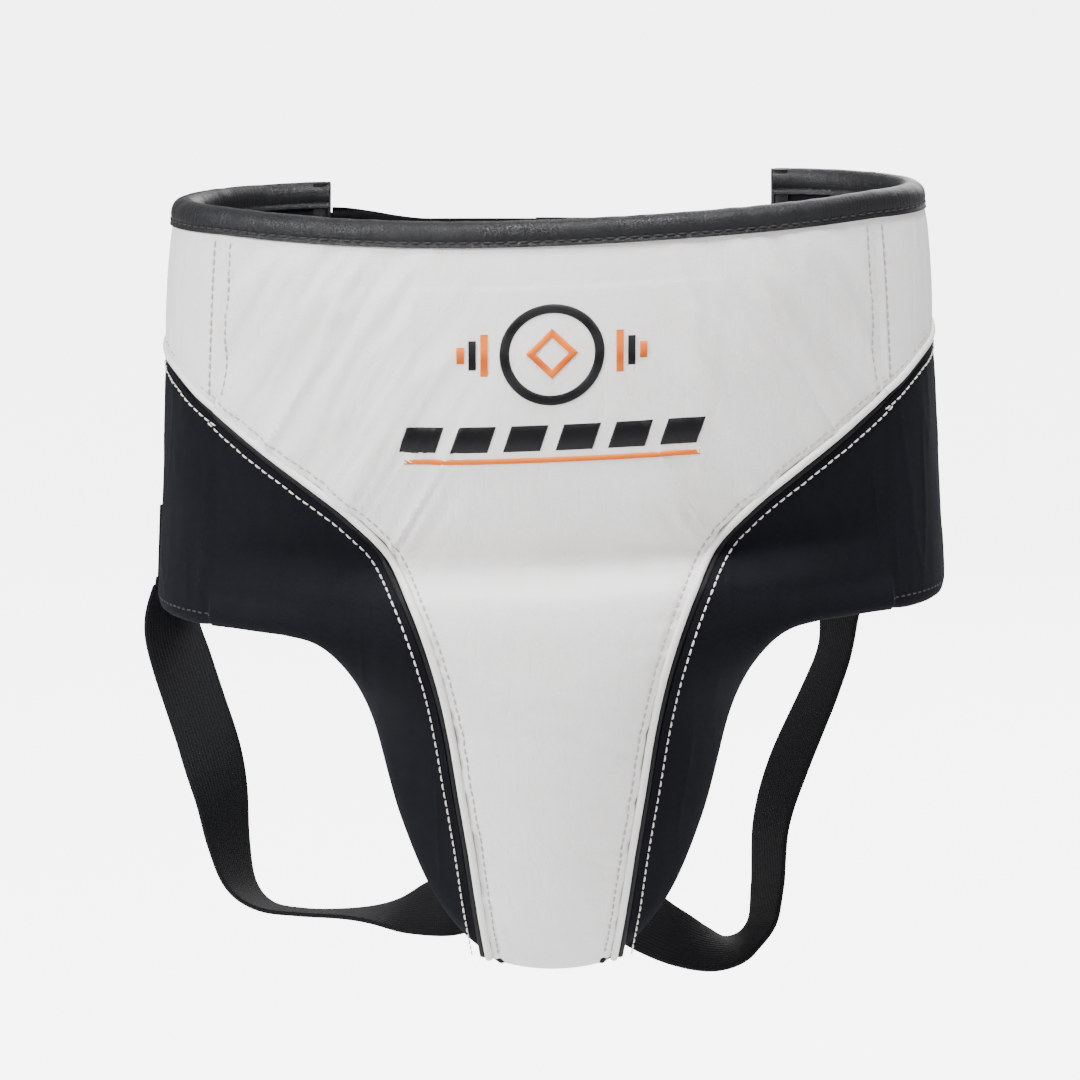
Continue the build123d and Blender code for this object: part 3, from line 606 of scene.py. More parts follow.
satinBlack = finish("satinBlack", "weave", (0.003, 0.003, 0.004), (0.01, 0.01, 0.012), (0.4, 0.55),
                    (0.8, 0.0004), {"Specular IOR Level": 0.25}, Across=1100.0, Along=30.0)
satinOrange = finish("satinOrange", "weave", (0.72, 0.12, 0.002), (0.85, 0.2, 0.006), (0.4, 0.55),
                     (0.8, 0.0004),
                     {"Specular IOR Level": 0.25}, Across=1100.0, Along=30.0)
innerFoam = finish("innerFoam", "leather", (0.5, 0.49, 0.43), (0.42, 0.4, 0.34), (0.85, 0.95), (0.6, 0.0008),
                   Cells=700.0, Fine=2000.0)
cupPlastic = finish("cupPlastic", "leather", (0.5, 0.5, 0.49), (0.45, 0.45, 0.44), (0.3, 0.42),
                    (0.08, 0.0002),
                    Cells=500.0, Fine=1500.0)
print("finishes ready")


def declare(piece, nodes=(), body=None):
    if nodes:
        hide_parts(*nodes)
    if body:
        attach(piece, body)
    return piece


pad = guard["pad"]
skin = guard["skin"]
hemTurn = {"outer": 3.4, "lap": (3.0, 1.6, 0.6, 0.2)}
tipTurn = {"outer": 2.2, "lap": (1.4, 0.2, -0.5, -0.9)}


def turnedDepth(phi, turn):
    # Depth of a turned edge: round from the outer face, then a lap that ends short of the pad's back.
    return np.concatenate([pad / 2 - (pad / 2 - turn["outer"]) * np.cos(phi), pad - np.array(turn["lap"])])


# White leather over the belly and down the front of the cup: rows level, ends on the sewn line.
leatherGrid = {"rows": (88, 100, 90), "columns": 177, "bottomDrop": 4.0}
rowZ = np.concatenate([
    np.linspace(leatherTop, -92.0, leatherGrid["rows"][0], endpoint=False),
    np.linspace(-92.0, -230.0, leatherGrid["rows"][1], endpoint=False),
    np.linspace(-230.0, seamPoints[-1][1], leatherGrid["rows"][2]),
])
across = np.linspace(-1, 1, leatherGrid["columns"])
gridS = seamX(rowZ)[:, None] * across[None, :]
gridZ = np.repeat(rowZ[:, None], len(across), axis=1)
bottomShare = smoothStep(-345.0, seamPoints[-1][1], gridZ)
gridZ = gridZ - leatherGrid["bottomDrop"] * bottomShare * (1 - across[None, :] ** 2)
toTip = gridZ - gridZ[-1:]
lift = (leatherLift(gridS, gridZ) - pinch(gridZ)
        - 2.6 * (1 - np.sqrt(1 - (1 - np.clip(toTip / 8.0, 0, 1)) ** 2)))
frontLeather = layer("frontLeather", gridS, gridZ, -lift, skin - lift, whiteLeather)
declare(frontLeather, ["front_leather"], "front")

# Thigh panels: ruled between the sewn line and the outline of fold, hem and leg opening.
panelGrid = {"along": 260, "across": 56, "seamGap": 6.2, "foldCorner": (foldX, hemZ)}


def hemBulge(distance):
    # Both faces draw together towards a turned edge, as a quarter circle.
    share = np.clip(distance / 9.0, 0, 1)
    return 3.6 * (1 - np.sqrt(1 - (1 - share) ** 2))


def suedeLift(s, z):
    # Slow swells and a few upright pulls, with a shallow fold line.
    soft = 1.6 * (valueNoise(s / 30.0, z / 60.0, 11.0) - 0.5)
    return soft + 0.5 * (creases(s / 12.0, z / 50.0, 12.0, 4.0) - 0.3) - 0.3 * groove(s)


foldRows = 78


def edgeOutline(count):
    # The free edge of a half panel: down the fold line, along the hem and down the leg opening.
    fold = np.array([(foldX, seamPoints[0][1]), panelGrid["foldCorner"]])
    leg = curveThrough(legPoints, 200)
    below = evenly(np.vstack([evenly(np.vstack([fold[-1], leg[0]]), 20), leg[1:]]), count - foldRows)
    return np.vstack([evenly(fold, foldRows + 1)[:-1], below])


outline = edgeOutline(panelGrid["along"])
innerLine = evenly(seamTable, panelGrid["along"])
hemStart = foldRows
outlineRun = unit(np.gradient(outline, axis=0))
outlineRun[hemStart:] = unit(np.gradient(outline[hemStart:], axis=0))
outlineOut = np.stack([-outlineRun[:, 1], outlineRun[:, 0]], axis=1)
outlineOut = outlineOut * np.sign((outlineOut * (outline - innerLine)).sum(axis=1))[:, None]
for name, side in sides:
    seamRun = unit(np.gradient(innerLine, axis=0))
    seamOut = np.stack([-seamRun[:, 1], seamRun[:, 0]], axis=1)
    seamOut = seamOut * np.sign((seamOut * (outline - innerLine)).sum(axis=1))[:, None]
    start = innerLine + seamOut * panelGrid["seamGap"]
    w = np.linspace(0, 1, panelGrid["across"])
    rim = outline - outlineOut * 0.5 * (np.arange(len(outline)) >= hemStart)[:, None]
    flat = start[:, None, :] + (rim - start)[:, None, :] * w[None, :, None]
    apart = flat[:, :, None, :] - outline[None, None, hemStart:, :]
    nearest = np.linalg.norm(apart, axis=-1).argmin(axis=2)
    toEdge = np.take_along_axis(apart, nearest[:, :, None, None], axis=2)[:, :, 0]
    toEdge = np.abs((toEdge * outlineOut[hemStart:][nearest]).sum(axis=-1))
    toSeam = np.linalg.norm(rim - start, axis=1)[:, None] * w[None, :]
    s, z = flat[..., 0] * side, flat[..., 1]
    lift = suedeLift(s, z) * smoothStep(0.0, 14.0, toEdge) - hemBulge(toEdge) - 0.8 * np.exp(-toSeam / 3.0)
    panel = layer(f"{name}ThighPanel", s, z, -lift, skin - lift, navySuede)
    declare(panel, [f"{name}_thigh_panel"], "front")

    # The suede turns round the hem and the leg opening and is sewn to the lining.
    turned = outline[hemStart:]
    away = outlineOut[hemStart:]
    phi = np.linspace(0, math.pi, 15)
    reach = 3.4
    out = np.concatenate([reach * np.sin(phi) - reach, [-6.0, -9.0, -12.0, -14.0]])
    depth = turnedDepth(phi, hemTurn)
    lineS = (turned[:, None, 0] + away[:, None, 0] * out[None, :]) * side
    lineZ = turned[:, None, 1] + away[:, None, 1] * out[None, :]
    depth = np.repeat(depth[None, :], len(turned), axis=0)
    depth = depth + 0.35 * (valueNoise(np.arange(len(turned)) / 3.0, 0.0, 21.0)[:, None] - 0.5) * np.sin(
        np.linspace(0, math.pi, len(out)))[None, :]
    hem = closedSheet(f"{name}LegHem", wall(lineS, lineZ, depth),
                      wall(lineS, lineZ, depth + np.where(depth < pad / 2, 0.7, -0.7)),
                      np.stack([lineS, lineZ], axis=-1), navySuede)
    declare(hem, (), "front")

# Piping, welt and stitch rows along the sewn line.
pipingShape = {"width": 3.6, "height": 3.2, "proud": 0.5, "weltWidth": 3.0, "weltHeight": 1.6,
               "whiteStitch": 3.2, "blackStitch": 9.4}
for name, side in sides:
    lineXY = evenly(seamTable, 260)[:-3]
    outSide = unit(np.stack([-np.gradient(lineXY[:, 1]), np.gradient(lineXY[:, 0])], axis=1))
    outSide = outSide * np.sign(outSide[:, :1])

    def seamAt(shift, depth):
        s = (lineXY[:, 0] + outSide[:, 0] * shift) * side
        z = lineXY[:, 1] + outSide[:, 1] * shift
        return wall(s, z, depth), outwardAt(s, z, depth)

    line, outward = seamAt(1.4, pipingShape["height"] / 2 - pipingShape["proud"] - 1.0)
    wobble = 0.15 * (valueNoise(np.arange(len(line)) / 2.3, 0.0, 31.0)[:, None] - 0.5)
    piping = tube(f"{name}FrontPiping", line + outward * wobble, outward,
                  roundProfile(pipingShape["width"], pipingShape["height"]), whitePiping)
    declare(piping, [f"{name}_front_piping"], "front")
    line, outward = seamAt(4.9, 1.4)
    welt = tube(f"{name}FrontWelt", line, outward,
                roundProfile(pipingShape["weltWidth"], pipingShape["weltHeight"]), blackWelt)
    declare(welt, [f"{name}_front_welt"], "front")
    s = (lineXY[:, 0] - outSide[:, 0] * pipingShape["whiteStitch"]) * side
    z = lineXY[:, 1] - outSide[:, 1] * pipingShape["whiteStitch"]
    depth = -leatherLift(s, z) - 0.15
    declare(stitches(f"{name}LeatherStitches", wall(s, z, depth), outwardAt(s, z, depth), threadPaintedShade), (),
            "front")
    s = (lineXY[:, 0] + outSide[:, 0] * pipingShape["blackStitch"]) * side
    z = lineXY[:, 1] + outSide[:, 1] * pipingShape["blackStitch"]
    depth = 0.8 * math.exp(-(pipingShape["blackStitch"] - panelGrid["seamGap"]) / 3.0) - suedeLift(s, z) - 0.3
    declare(stitches(f"{name}PanelStitches", wall(s, z, depth), outwardAt(s, z, depth), threadWhite), (),
            "front")

# The leather turns under at the tip of the crotch, over the ends of the seams.
tipAcross = np.linspace(-30.0, 30.0, 60)
phi = np.linspace(0, math.pi, 15)
out = np.concatenate([3.0 * np.sin(phi) - 3.0, [-6.0, -9.0, -12.0, -15.0]])
depth = turnedDepth(phi, tipTurn)
tipZ = seamPoints[-1][1] - leatherGrid["bottomDrop"] * (1 - (tipAcross / 30.0) ** 2)
lineS = np.repeat(tipAcross[:, None], len(out), axis=1)
lineZ = tipZ[:, None] - out[None, :]
depth = np.repeat(depth[None, :], 60, axis=0)
inner = depth + np.where(depth < pad / 2, 0.9, -0.9)
tip = closedSheet("crotchTip", wall(lineS, lineZ, depth), wall(lineS, lineZ, inner),
                  np.stack([lineS, lineZ], axis=-1), whiteLeather)
declare(tip, (), "front")

# Wings: leather over suede, with the same seam between them.
wingGrid = {"columns": 120, "leatherRows": 70, "suedeRows": 90}
wingS = np.linspace(foldX, endS - 2.0, wingGrid["columns"])
wingY = np.clip(wall(wingS, -50.0)[:, 1], foldY, rearY)
wingSeam = np.interp(wingY, wingSeamPoints[:, 0], wingSeamPoints[:, 1])
wingSeam = np.convolve(np.pad(wingSeam, 6, mode="edge"), np.ones(13) / 13, mode="valid")
wingSeam[0:8] = np.linspace(-92.0, wingSeam[8], 8, endpoint=False)
wingHem = np.interp(wingY, wingHemPoints[:, 0], wingHemPoints[:, 1])
wingHem = np.convolve(np.pad(wingHem, 8, mode="edge"), np.ones(17) / 17, mode="valid")
for name, side in sides:
    body = f"{name}_wing"
    share = np.linspace(0, 1, wingGrid["leatherRows"])[:, None]
    s = np.repeat(wingS[None, :], len(share), axis=0) * side
    z = leatherTop + (wingSeam[None, :] - leatherTop) * share
    near = np.abs(z - wingSeam[None, :])
    pull = creases(s / 9.0, z / 70.0, 14.0) * 0.9 * smoothStep(leatherTop, -20.0, z)
    ditch = groove(s) * smoothStep(-12.0, -22.0, z)
    lift = pull * smoothStep(0.0, 18.0, np.abs(s) - foldX) - ditch - pinch(z) - 0.9 * np.exp(-near / 3.5)
    lift = lift + 0.5 * np.exp(-near / 7.0) * (valueNoise(s / 4.2, 0.0, 15.0) - 0.5)
    piece = layer(f"{name}WingLeather", s, z, -lift, skin - lift, whiteLeather)
    declare(piece, [f"{name}_wing_leather"])
    rideWing(piece, side)

    share = np.linspace(0, 1, wingGrid["suedeRows"])[:, None]
    s = np.repeat(wingS[None, :], len(share), axis=0) * side
    top = wingSeam[None, :] - panelGrid["seamGap"]
    z = top + (wingHem[None, :] + 0.5 - top) * share
    toEdge = z - wingHem[None, :] - 0.5
    lift = suedeLift(s, z) * smoothStep(0.0, 14.0, toEdge)
    lift = lift - hemBulge(toEdge) - 0.8 * np.exp(-(top - z) / 3.0)
    piece = layer(f"{name}WingSuede", s, z, -lift, skin - lift, navySuede)
    declare(piece, [f"{name}_wing_suede"])
    rideWing(piece, side)

    phi = np.linspace(0, math.pi, 15)
    out = np.concatenate([3.4 * np.sin(phi) - 3.4, [-6.0, -9.0, -12.0, -14.0]])
    depth = turnedDepth(phi, hemTurn)
    lineS = np.repeat(wingS[:, None], len(out), axis=1) * side
    lineZ = wingHem[:, None] - out[None, :]
    depth = np.repeat(depth[None, :], len(wingS), axis=0)
    inner = depth + np.where(depth < pad / 2, 0.7, -0.7)
    piece = closedSheet(f"{name}WingHem", wall(lineS, lineZ, depth), wall(lineS, lineZ, inner),
                        np.stack([lineS, lineZ], axis=-1), navySuede)
    rideWing(piece, side)

    def wingLine(values, shift, depth, first=0, last=None):
        s, z = wingS[first:last] * side, values[first:last] + shift
        return wall(s, z, depth), outwardAt(s, z, depth)

    line, outward = wingLine(wingSeam, -1.4, pipingShape["height"] / 2 - pipingShape["proud"] - 1.0, 0, -8)
    piece = tube(f"{name}WingPiping", line, outward,
                 roundProfile(pipingShape["width"], pipingShape["height"]),
                 whitePiping)
    declare(piece, [f"{name}_wing_piping"])
    rideWing(piece, side)
    line, outward = wingLine(wingSeam, -4.9, 1.4, 0, -8)
    piece = tube(f"{name}WingWelt", line, outward,
                 roundProfile(pipingShape["weltWidth"], pipingShape["weltHeight"]), blackWelt)
    rideWing(piece, side)
    for label, shift, depth, thread in (("Leather", 3.2, 0.3, threadPaintedShade), ("Panel", -9.4, 0.2, threadWhite)):
        if label == "Panel":
            depth = 0.8 * math.exp(-1.07) - suedeLift(wingS[:-8] * side, wingSeam[:-8] - 9.4) - 0.3
        line, outward = wingLine(wingSeam, shift, depth, 0, -8)
        rideWing(stitches(f"{name}Wing{label}Stitches", line, outward, thread), side)
    line, outward = wingLine(wingHem, 7.0, 0.5)
    rideWing(stitches(f"{name}HemStitches", line, outward, threadBlack), side)
print("outer skins ready")

# Stitch rows down both sides of each fold.
foldStitch = {"beside": 4.6, "pitch": 4.1}
for name, side in sides:
    z = np.linspace(-14.0, -88.0, 60)
    for label, shift in (("Front", -foldStitch["beside"]), ("Wing", foldStitch["beside"])):
        s = np.full_like(z, side * (foldX + shift))
        depth = groove(s) + pinch(z) - 0.35
        if label == "Front":
            depth = pinch(z) - leatherLift(s, z) - 0.2
        piece = stitches(f"{name}Fold{label}Stitches", wall(s, z, depth), outwardAt(s, z, depth), threadPaintedShade,
                         pitch=foldStitch["pitch"])
        if label == "Front":
            declare(piece, (), "front")
        else:
            rideWing(piece, side)


# Lining: one sheet for the front and one for each wing, quilted in squares.
def liningDepth(s, z):
    quilt = np.abs(np.sin(s / 28.0 * math.pi)) * np.abs(np.sin(z / 28.0 * math.pi))
    # Quilted in squares: the cloth dips towards the pad along each sewn line.
    return pad - 0.9 * (1 - np.clip(quilt * 6, 0, 1)) - pinch(z) * 0.9


liningZ = np.concatenate([np.linspace(leatherTop, hemZ, 90, endpoint=False),
                          np.linspace(hemZ, lowestZ + 5.0, 60)])
legTable = curveThrough(legPoints, 300)
legEdge = np.where(liningZ > hemZ - 0.5, foldX, np.interp(-liningZ, -legTable[:, 1], legTable[:, 0]))
legEdge[90:] = np.interp(-liningZ[90:], -legTable[:, 1], legTable[:, 0])
legEdge[90:] = np.maximum(legEdge[90:] - 8.0, 12.0)
gridS = legEdge[:, None] * np.linspace(-1, 1, 160)[None, :]
gridZ = np.repeat(liningZ[:, None], 160, axis=1)
depth = liningDepth(gridS, gridZ)
frontLining = layer("frontLining", gridS, gridZ, depth - guard["lining"], depth, liningCloth)
declare(frontLining, ["front_lining"], "front")
for name, side in sides:
    share = np.linspace(0, 1, 100)[:, None]
    s = np.repeat(wingS[None, :], 100, axis=0) * side
    z = leatherTop + (wingHem[None, :] + 4.0 - leatherTop) * share
    depth = liningDepth(s, z)
    piece = layer(f"{name}WingLining", s, z, depth - guard["lining"], depth, liningCloth)
    declare(piece, [f"{name}_wing_lining"])
    rideWing(piece, side)


# Foam, cup and rim inside the wall, following the same soft shape.
def slab(name, s, z, near, far, node, body, material):
    piece = layer(name, s, z, near + pinch(z) * 0.9, far - pinch(z) * 0.9, material)
    declare(piece, [node], body)
    return piece


bellyZ = np.linspace(leatherTop - 2.0, -197.0, 80)
bellyEdge = np.minimum(foldX - 4.0, np.where(bellyZ > -197.0, foldX - 4.0, 120.0))
slab("bellyFoam", bellyEdge[:, None] * np.linspace(-1, 1, 100)[None, :], np.repeat(bellyZ[:, None], 100, 1),
     3.4, pad - 2.2, "belly_foam", "front", innerFoam)
cupZ = np.linspace(-202.0, lowestZ + 12.0, 80)
cupEdge = np.interp(-cupZ, [202, 230, 265, 300, 330, 345, 360], [66, 68, 60, 48, 38, 34, 16])
cupS, cupZZ = cupEdge[:, None] * np.linspace(-1, 1, 70)[None, :], np.repeat(cupZ[:, None], 70, 1)
slab("cupFaceFoam", cupS, cupZZ, 3.2, 8.6, "cup_face_foam", "front", innerFoam)
slab("cupShell", cupS[:62] * 0.86, cupZZ[:62], 9.0, 11.2, "cup_shell", "front", cupPlastic)
rimLine = np.stack([cupEdge[:62] * 0.93, cupZ[:62]], axis=1)
rimFoot = np.stack([np.linspace(rimLine[-1, 0], -rimLine[-1, 0], 24), np.full(24, rimLine[-1, 1] - 1.0)],
                   axis=1)
rimLoop = np.vstack([rimLine, rimFoot[1:-1], rimLine[::-1] * np.array([-1.0, 1.0])])
rimPlace = wall(rimLoop[:, 0], rimLoop[:, 1], 10.4)
piece = tube("cupRimPad", rimPlace, outwardAt(rimLoop[:, 0], rimLoop[:, 1], 10.4), roundProfile(5.0, 3.4),
             innerFoam)
declare(piece, ["cup_rim_pad"], "front")
for name, side in sides:
    z = np.linspace(-203.0, lowestZ + 22.0, 60)
    inner = np.interp(-z, -cupZ, cupEdge) + 2.0
    outer = np.maximum(np.interp(-z, -legTable[:, 1], legTable[:, 0]) - 9.0, inner + 1.0)
    s = (inner[:, None] + (outer - inner)[:, None] * np.linspace(0, 1, 20)[None, :]) * side
    slab(f"{name}ThighFoam", s, np.repeat(z[:, None], 20, 1), 3.4, pad - 2.2, f"{name}_thigh_foam", "front",
         innerFoam)
    share = np.linspace(0, 1, 60)[:, None]
    s = np.repeat(np.linspace(foldX + 4.0, endS - 5.0, 90)[None, :], 60, axis=0) * side
    hem = np.interp(np.abs(s[0]), wingS, wingHem)[None, :] + 7.0
    z = leatherTop - 2.0 + (hem - leatherTop + 2.0) * share
    slab(f"{name}WingFoam", s, z, 3.4, pad - 2.2, f"{name}_wing_foam", f"{name}_wing", innerFoam)
print("inside layers ready")

# Binding: a strip of black leather folded over the top edge, and over each wing's rear end.
bindingShape = {"drop": 11.0, "stitchZ": -8.6, "bulge": 0.7}


def legDepth(z):
    # The strip lies on the leather, dips along its stitching and swells above it.
    swell = bindingShape["bulge"] * smoothStep(bindingShape["stitchZ"], -4.5, z)
    dip = 0.5 * np.exp(-(((z - bindingShape["stitchZ"]) / 0.9) ** 2))
    return pinch(z) - 1.5 - swell + dip


def bindingSection(topZ):
    # Down outside, over the edge in a half ellipse, down inside: depth and height for each point.
    middle = pad / 2
    arc = np.linspace(-math.pi / 2, math.pi / 2, 14)
    legZ = np.linspace(-bindingShape["drop"], -4.5, 13)[:-1]
    outside = legDepth(legZ)
    half = middle - legDepth(-4.5)
    depth = np.concatenate([outside, middle + np.sin(arc) * half, pad - outside[::-1]])
    height = np.concatenate([legZ, -4.5 + np.cos(arc) * 5.8, legZ[::-1]])
    return depth, height + topZ


def bindingPiece(name, s, topZ, seed):
    depth, height = bindingSection(0.0)
    ss = np.repeat(s[:, None], len(depth), axis=1)
    zz = np.repeat(height[None, :], len(s), axis=0) + topZ
    bend = (np.sin(np.linspace(0, math.pi, len(depth))) ** 0.5)[None, :]
    ripple = 0.45 * bend * (valueNoise(s[:, None] / 7.0, zz / 16.0, seed) - 0.5)
    tuck = 0.25 * bend * np.sin(s[:, None] / 4.3 * 2 * math.pi) ** 8
    side = np.where(depth < pad / 2, -1.0, 1.0)[None, :]
    outer = wall(ss, zz + ripple * 0.6, depth[None, :] + side * (ripple - tuck))
    innerDepth = depth[None, :] - side * 0.9
    inner = wall(ss, zz - np.where(np.abs(depth - pad / 2) < 4.0, 0.9, 0.0)[None, :], innerDepth)
    return closedSheet(name, outer, inner, np.stack([ss, zz], axis=-1), blackLeather)


topS = np.linspace(-foldX, foldX, 420)
piece = bindingPiece("frontBinding", topS, 0.0, 41.0)
declare(piece, ["front_binding"], "front")
stitchZ = bindingShape["stitchZ"]
line = wall(topS, np.full_like(topS, stitchZ), legDepth(stitchZ) - 0.25)
outward = outwardAt(topS, np.full_like(topS, stitchZ), 0.0)
declare(stitches("bindingStitches", line, outward, threadBlack, pitch=5.6, length=4.2), (), "front")
for name, side in sides:
    s = np.linspace(foldX, endS - 1.0, 240) * side
    piece = bindingPiece(f"{name}WingBinding", s, 0.0, 41.0)
    declare(piece, [f"{name}_wing_binding"])
    rideWing(piece, side)
    line = wall(s, np.full_like(s, stitchZ), legDepth(stitchZ) - 0.25)
    outward = outwardAt(s, np.full_like(s, stitchZ), 0.0)
    rideWing(stitches(f"{name}WingBindingStitches", line, outward, threadBlack, pitch=5.6, length=4.2),
             side)

    # The end strip: from the outside, round the wing's end, to the inside.
    endZ = np.linspace(1.0, float(wingHem[-1]) - 2.0, 150)
    half = pad / 2 - 0.4
    arc = np.linspace(-math.pi / 2, math.pi / 2, 14)
    legS = np.linspace(-11.0, -5.0, 8)[:-1]
    depthLine = np.concatenate([np.full_like(legS, pad / 2 - half - 0.9),
                                pad / 2 + np.sin(arc) * (half + 0.9),
                                np.full_like(legS, pad / 2 + half + 0.9)])
    outS = np.concatenate([legS, -5.0 + np.cos(arc) * 4.6, legS[::-1]])
    squeeze = (pinch(endZ) * 0.75)[:, None] * np.sign(pad / 2 - depthLine)[None, :]
    depth = depthLine[None, :] + squeeze
    depth = depth + 0.3 * (valueNoise(endZ[:, None] / 8.0, outS[None, :] / 9.0, 43.0) - 0.5)
    ss = (endS + outS[None, :] + np.zeros_like(depth)) * side
    zz = endZ[:, None] + np.zeros_like(depth)
    inner = wall(ss - side * 0.6 * (np.abs(depthLine - pad / 2) < 5.0)[None, :], zz,
                 depth + np.sign(pad / 2 - depthLine)[None, :] * 0.9)
    piece = closedSheet(f"{name}EndBinding", wall(ss, zz, depth), inner, np.stack([ss, zz], axis=-1),
                        blackLeather)
    declare(piece, (), f"{name}_wing")
    s = np.full(80, side * (endS - 9.0))
    z = np.linspace(-14.0, float(wingHem[-1]) + 4.0, 80)
    declare(stitches(f"{name}EndStitches", wall(s, z, -0.35), outwardAt(s, z, 0.0), threadBlack, pitch=5.6,
                     length=4.2), (), f"{name}_wing")
print("bindings ready")

# Plain embroidered badge: ring, diamond and side chevrons over a row of bars, in raised satin stitch.
badge = {"middle": -63.0, "ring": (24.0, 19.5), "diamond": 12.0, "height": 0.9, "barTop": -96.0,
         "barHeight": 12.0, "bars": (-60.0, -36.0, -12.0, 12.0, 36.0, 60.0), "barWidth": 17.0}


def raisedPatch(name, s, z, across, material):
    # A cushion of thread: its height is a half ellipse across, on the lifted leather.
    ground = leatherLift(s, z) - pinch(z)
    crown = badge["height"] * np.sqrt(np.clip(1 - across**2, 0, 1)) + 0.05
    piece = layer(name, s, z, -ground - crown, -ground + 0.4, material)
    return declare(piece, (), "front")


def ringPatch(name, centreS, centreZ, outer, inner, corners, material):
    # corners = 0 gives a circle; otherwise the radius follows the sides of a diamond.
    angle = np.linspace(0, 2 * math.pi, 145)[:, None]
    v = np.linspace(-1, 1, 11)[None, :]
    radius = (outer + inner) / 2 + v * (outer - inner) / 2
    if corners:
        radius = radius / (np.abs(np.cos(angle)) + np.abs(np.sin(angle)))
    return raisedPatch(name, centreS + radius * np.cos(angle), centreZ + radius * np.sin(angle),
                       v + angle * 0, material)


def barPatch(name, left, right, low, high, slant, material):
    u, v = np.meshgrid(np.linspace(-1, 1, 25), np.linspace(-1, 1, 13))
    z = (low + high) / 2 + v * (high - low) / 2
    s = (left + right) / 2 + u * (right - left) / 2 + slant * v
    edge = np.maximum(np.abs(v), np.abs(u) ** 6)
    return raisedPatch(name, s, z, edge, material)


ring = ringPatch("badgeRing", 0.0, badge["middle"], *badge["ring"], 0, satinBlack)
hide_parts("emblem")
ringPatch("badgeDiamond", 0.0, badge["middle"], badge["diamond"], badge["diamond"] - 4.4, 4, satinOrange)
for name, side in sides:
    for number in range(3):
        left = side * (31.0 + number * 5.4)
        barPatch(f"{name}BadgeBar{number}", left - 1.7, left + 1.7, badge["middle"] - 10.0 + number * 3,
                 badge["middle"] + 10.0 - number * 3, 0.0, satinBlack if number % 2 else satinOrange)
for number, middle in enumerate(badge["bars"]):
    barPatch(f"badgeBlock{number}", middle - badge["barWidth"] / 2, middle + badge["barWidth"] / 2,
             badge["barTop"] - badge["barHeight"], badge["barTop"], 2.0, satinBlack)
barPatch("badgeUnderline", -68.0, 68.0, badge["barTop"] - badge["barHeight"] - 5.5,
         badge["barTop"] - badge["barHeight"] - 3.0, 0.0, satinOrange)
print("badge ready")

# Leg straps: elastic from the tab under the hem, round the thigh, to the webbing behind the crotch.
strapShape = {"width": 30.0, "thickness": 2.0}
low = lambda share: -(184.0 + share * 187.0)


def tabPlace(side, turn, z, depth):
    s = side * (endS - guard["sideRadius"] * (math.pi / 2 - math.radians(turn)))
    return wall(s, z, depth), s


tabLow = nodeBox("left_leg_tab")[0][2]
tabHigh = nodeBox("left_leg_tab")[1][2]
strapPaths = {
    "left": {"turn": 25.0, "points": [
        ((-187, 43, -219), (0.9, 0.45, 0)), ((-182, 36, -235), (1, 0.1, 0.1)),
        ((-175, 28, -254), (1, 0, 0.2)),
        ((-168, 20, -273), (0.98, 0.1, 0.2)), ((-162, 12, -295), (0.8, 0.6, 0.1)),
        ((-158, 5, -318), (0.6, 0.8, 0)), ((-152, -1, -337), (0.4, 0.9, -0.05)),
        ((-140, -5, -347.5), (0.15, 0.98, -0.15)), ((-122, -8, -350), (0, 0.98, -0.17)),
        ((-100, -12, -349.5), (0, 0.98, -0.15)), ((-78, -18, -347.5), (0, 0.97, 0.1)),
        ((-60, -26, -343), (0, 0.7, 0.7)), ((-38, -36.5, -337.5), (0, -0.5, 0.87))]},
    "right": {"turn": 62.0, "points": [
        ((146, 82, -214), (-0.6, 0.8, 0)), ((142.5, 72, -234), (-0.4, 0.92, 0)),
        ((134, 59, -254), (-0.5, 0.85, 0)), ((118, 41, -287), (-0.6, 0.8, 0)),
        ((109, 28, -314), (-0.48, 0.87, 0)), ((106.5, 14, -343), (-0.42, 0.9, 0)),
        ((103, 6, -360), (-0.35, 0.92, -0.1)), ((92, 0, -369), (-0.1, 0.97, 0.1)),
        ((77, -7, -368), (0, 0.85, 0.5)), ((60, -16, -360), (0, 0.5, 0.85)),
        ((46, -26, -350), (0, 0, 1)), ((37, -33, -342), (0, -0.45, 0.9))]},
}
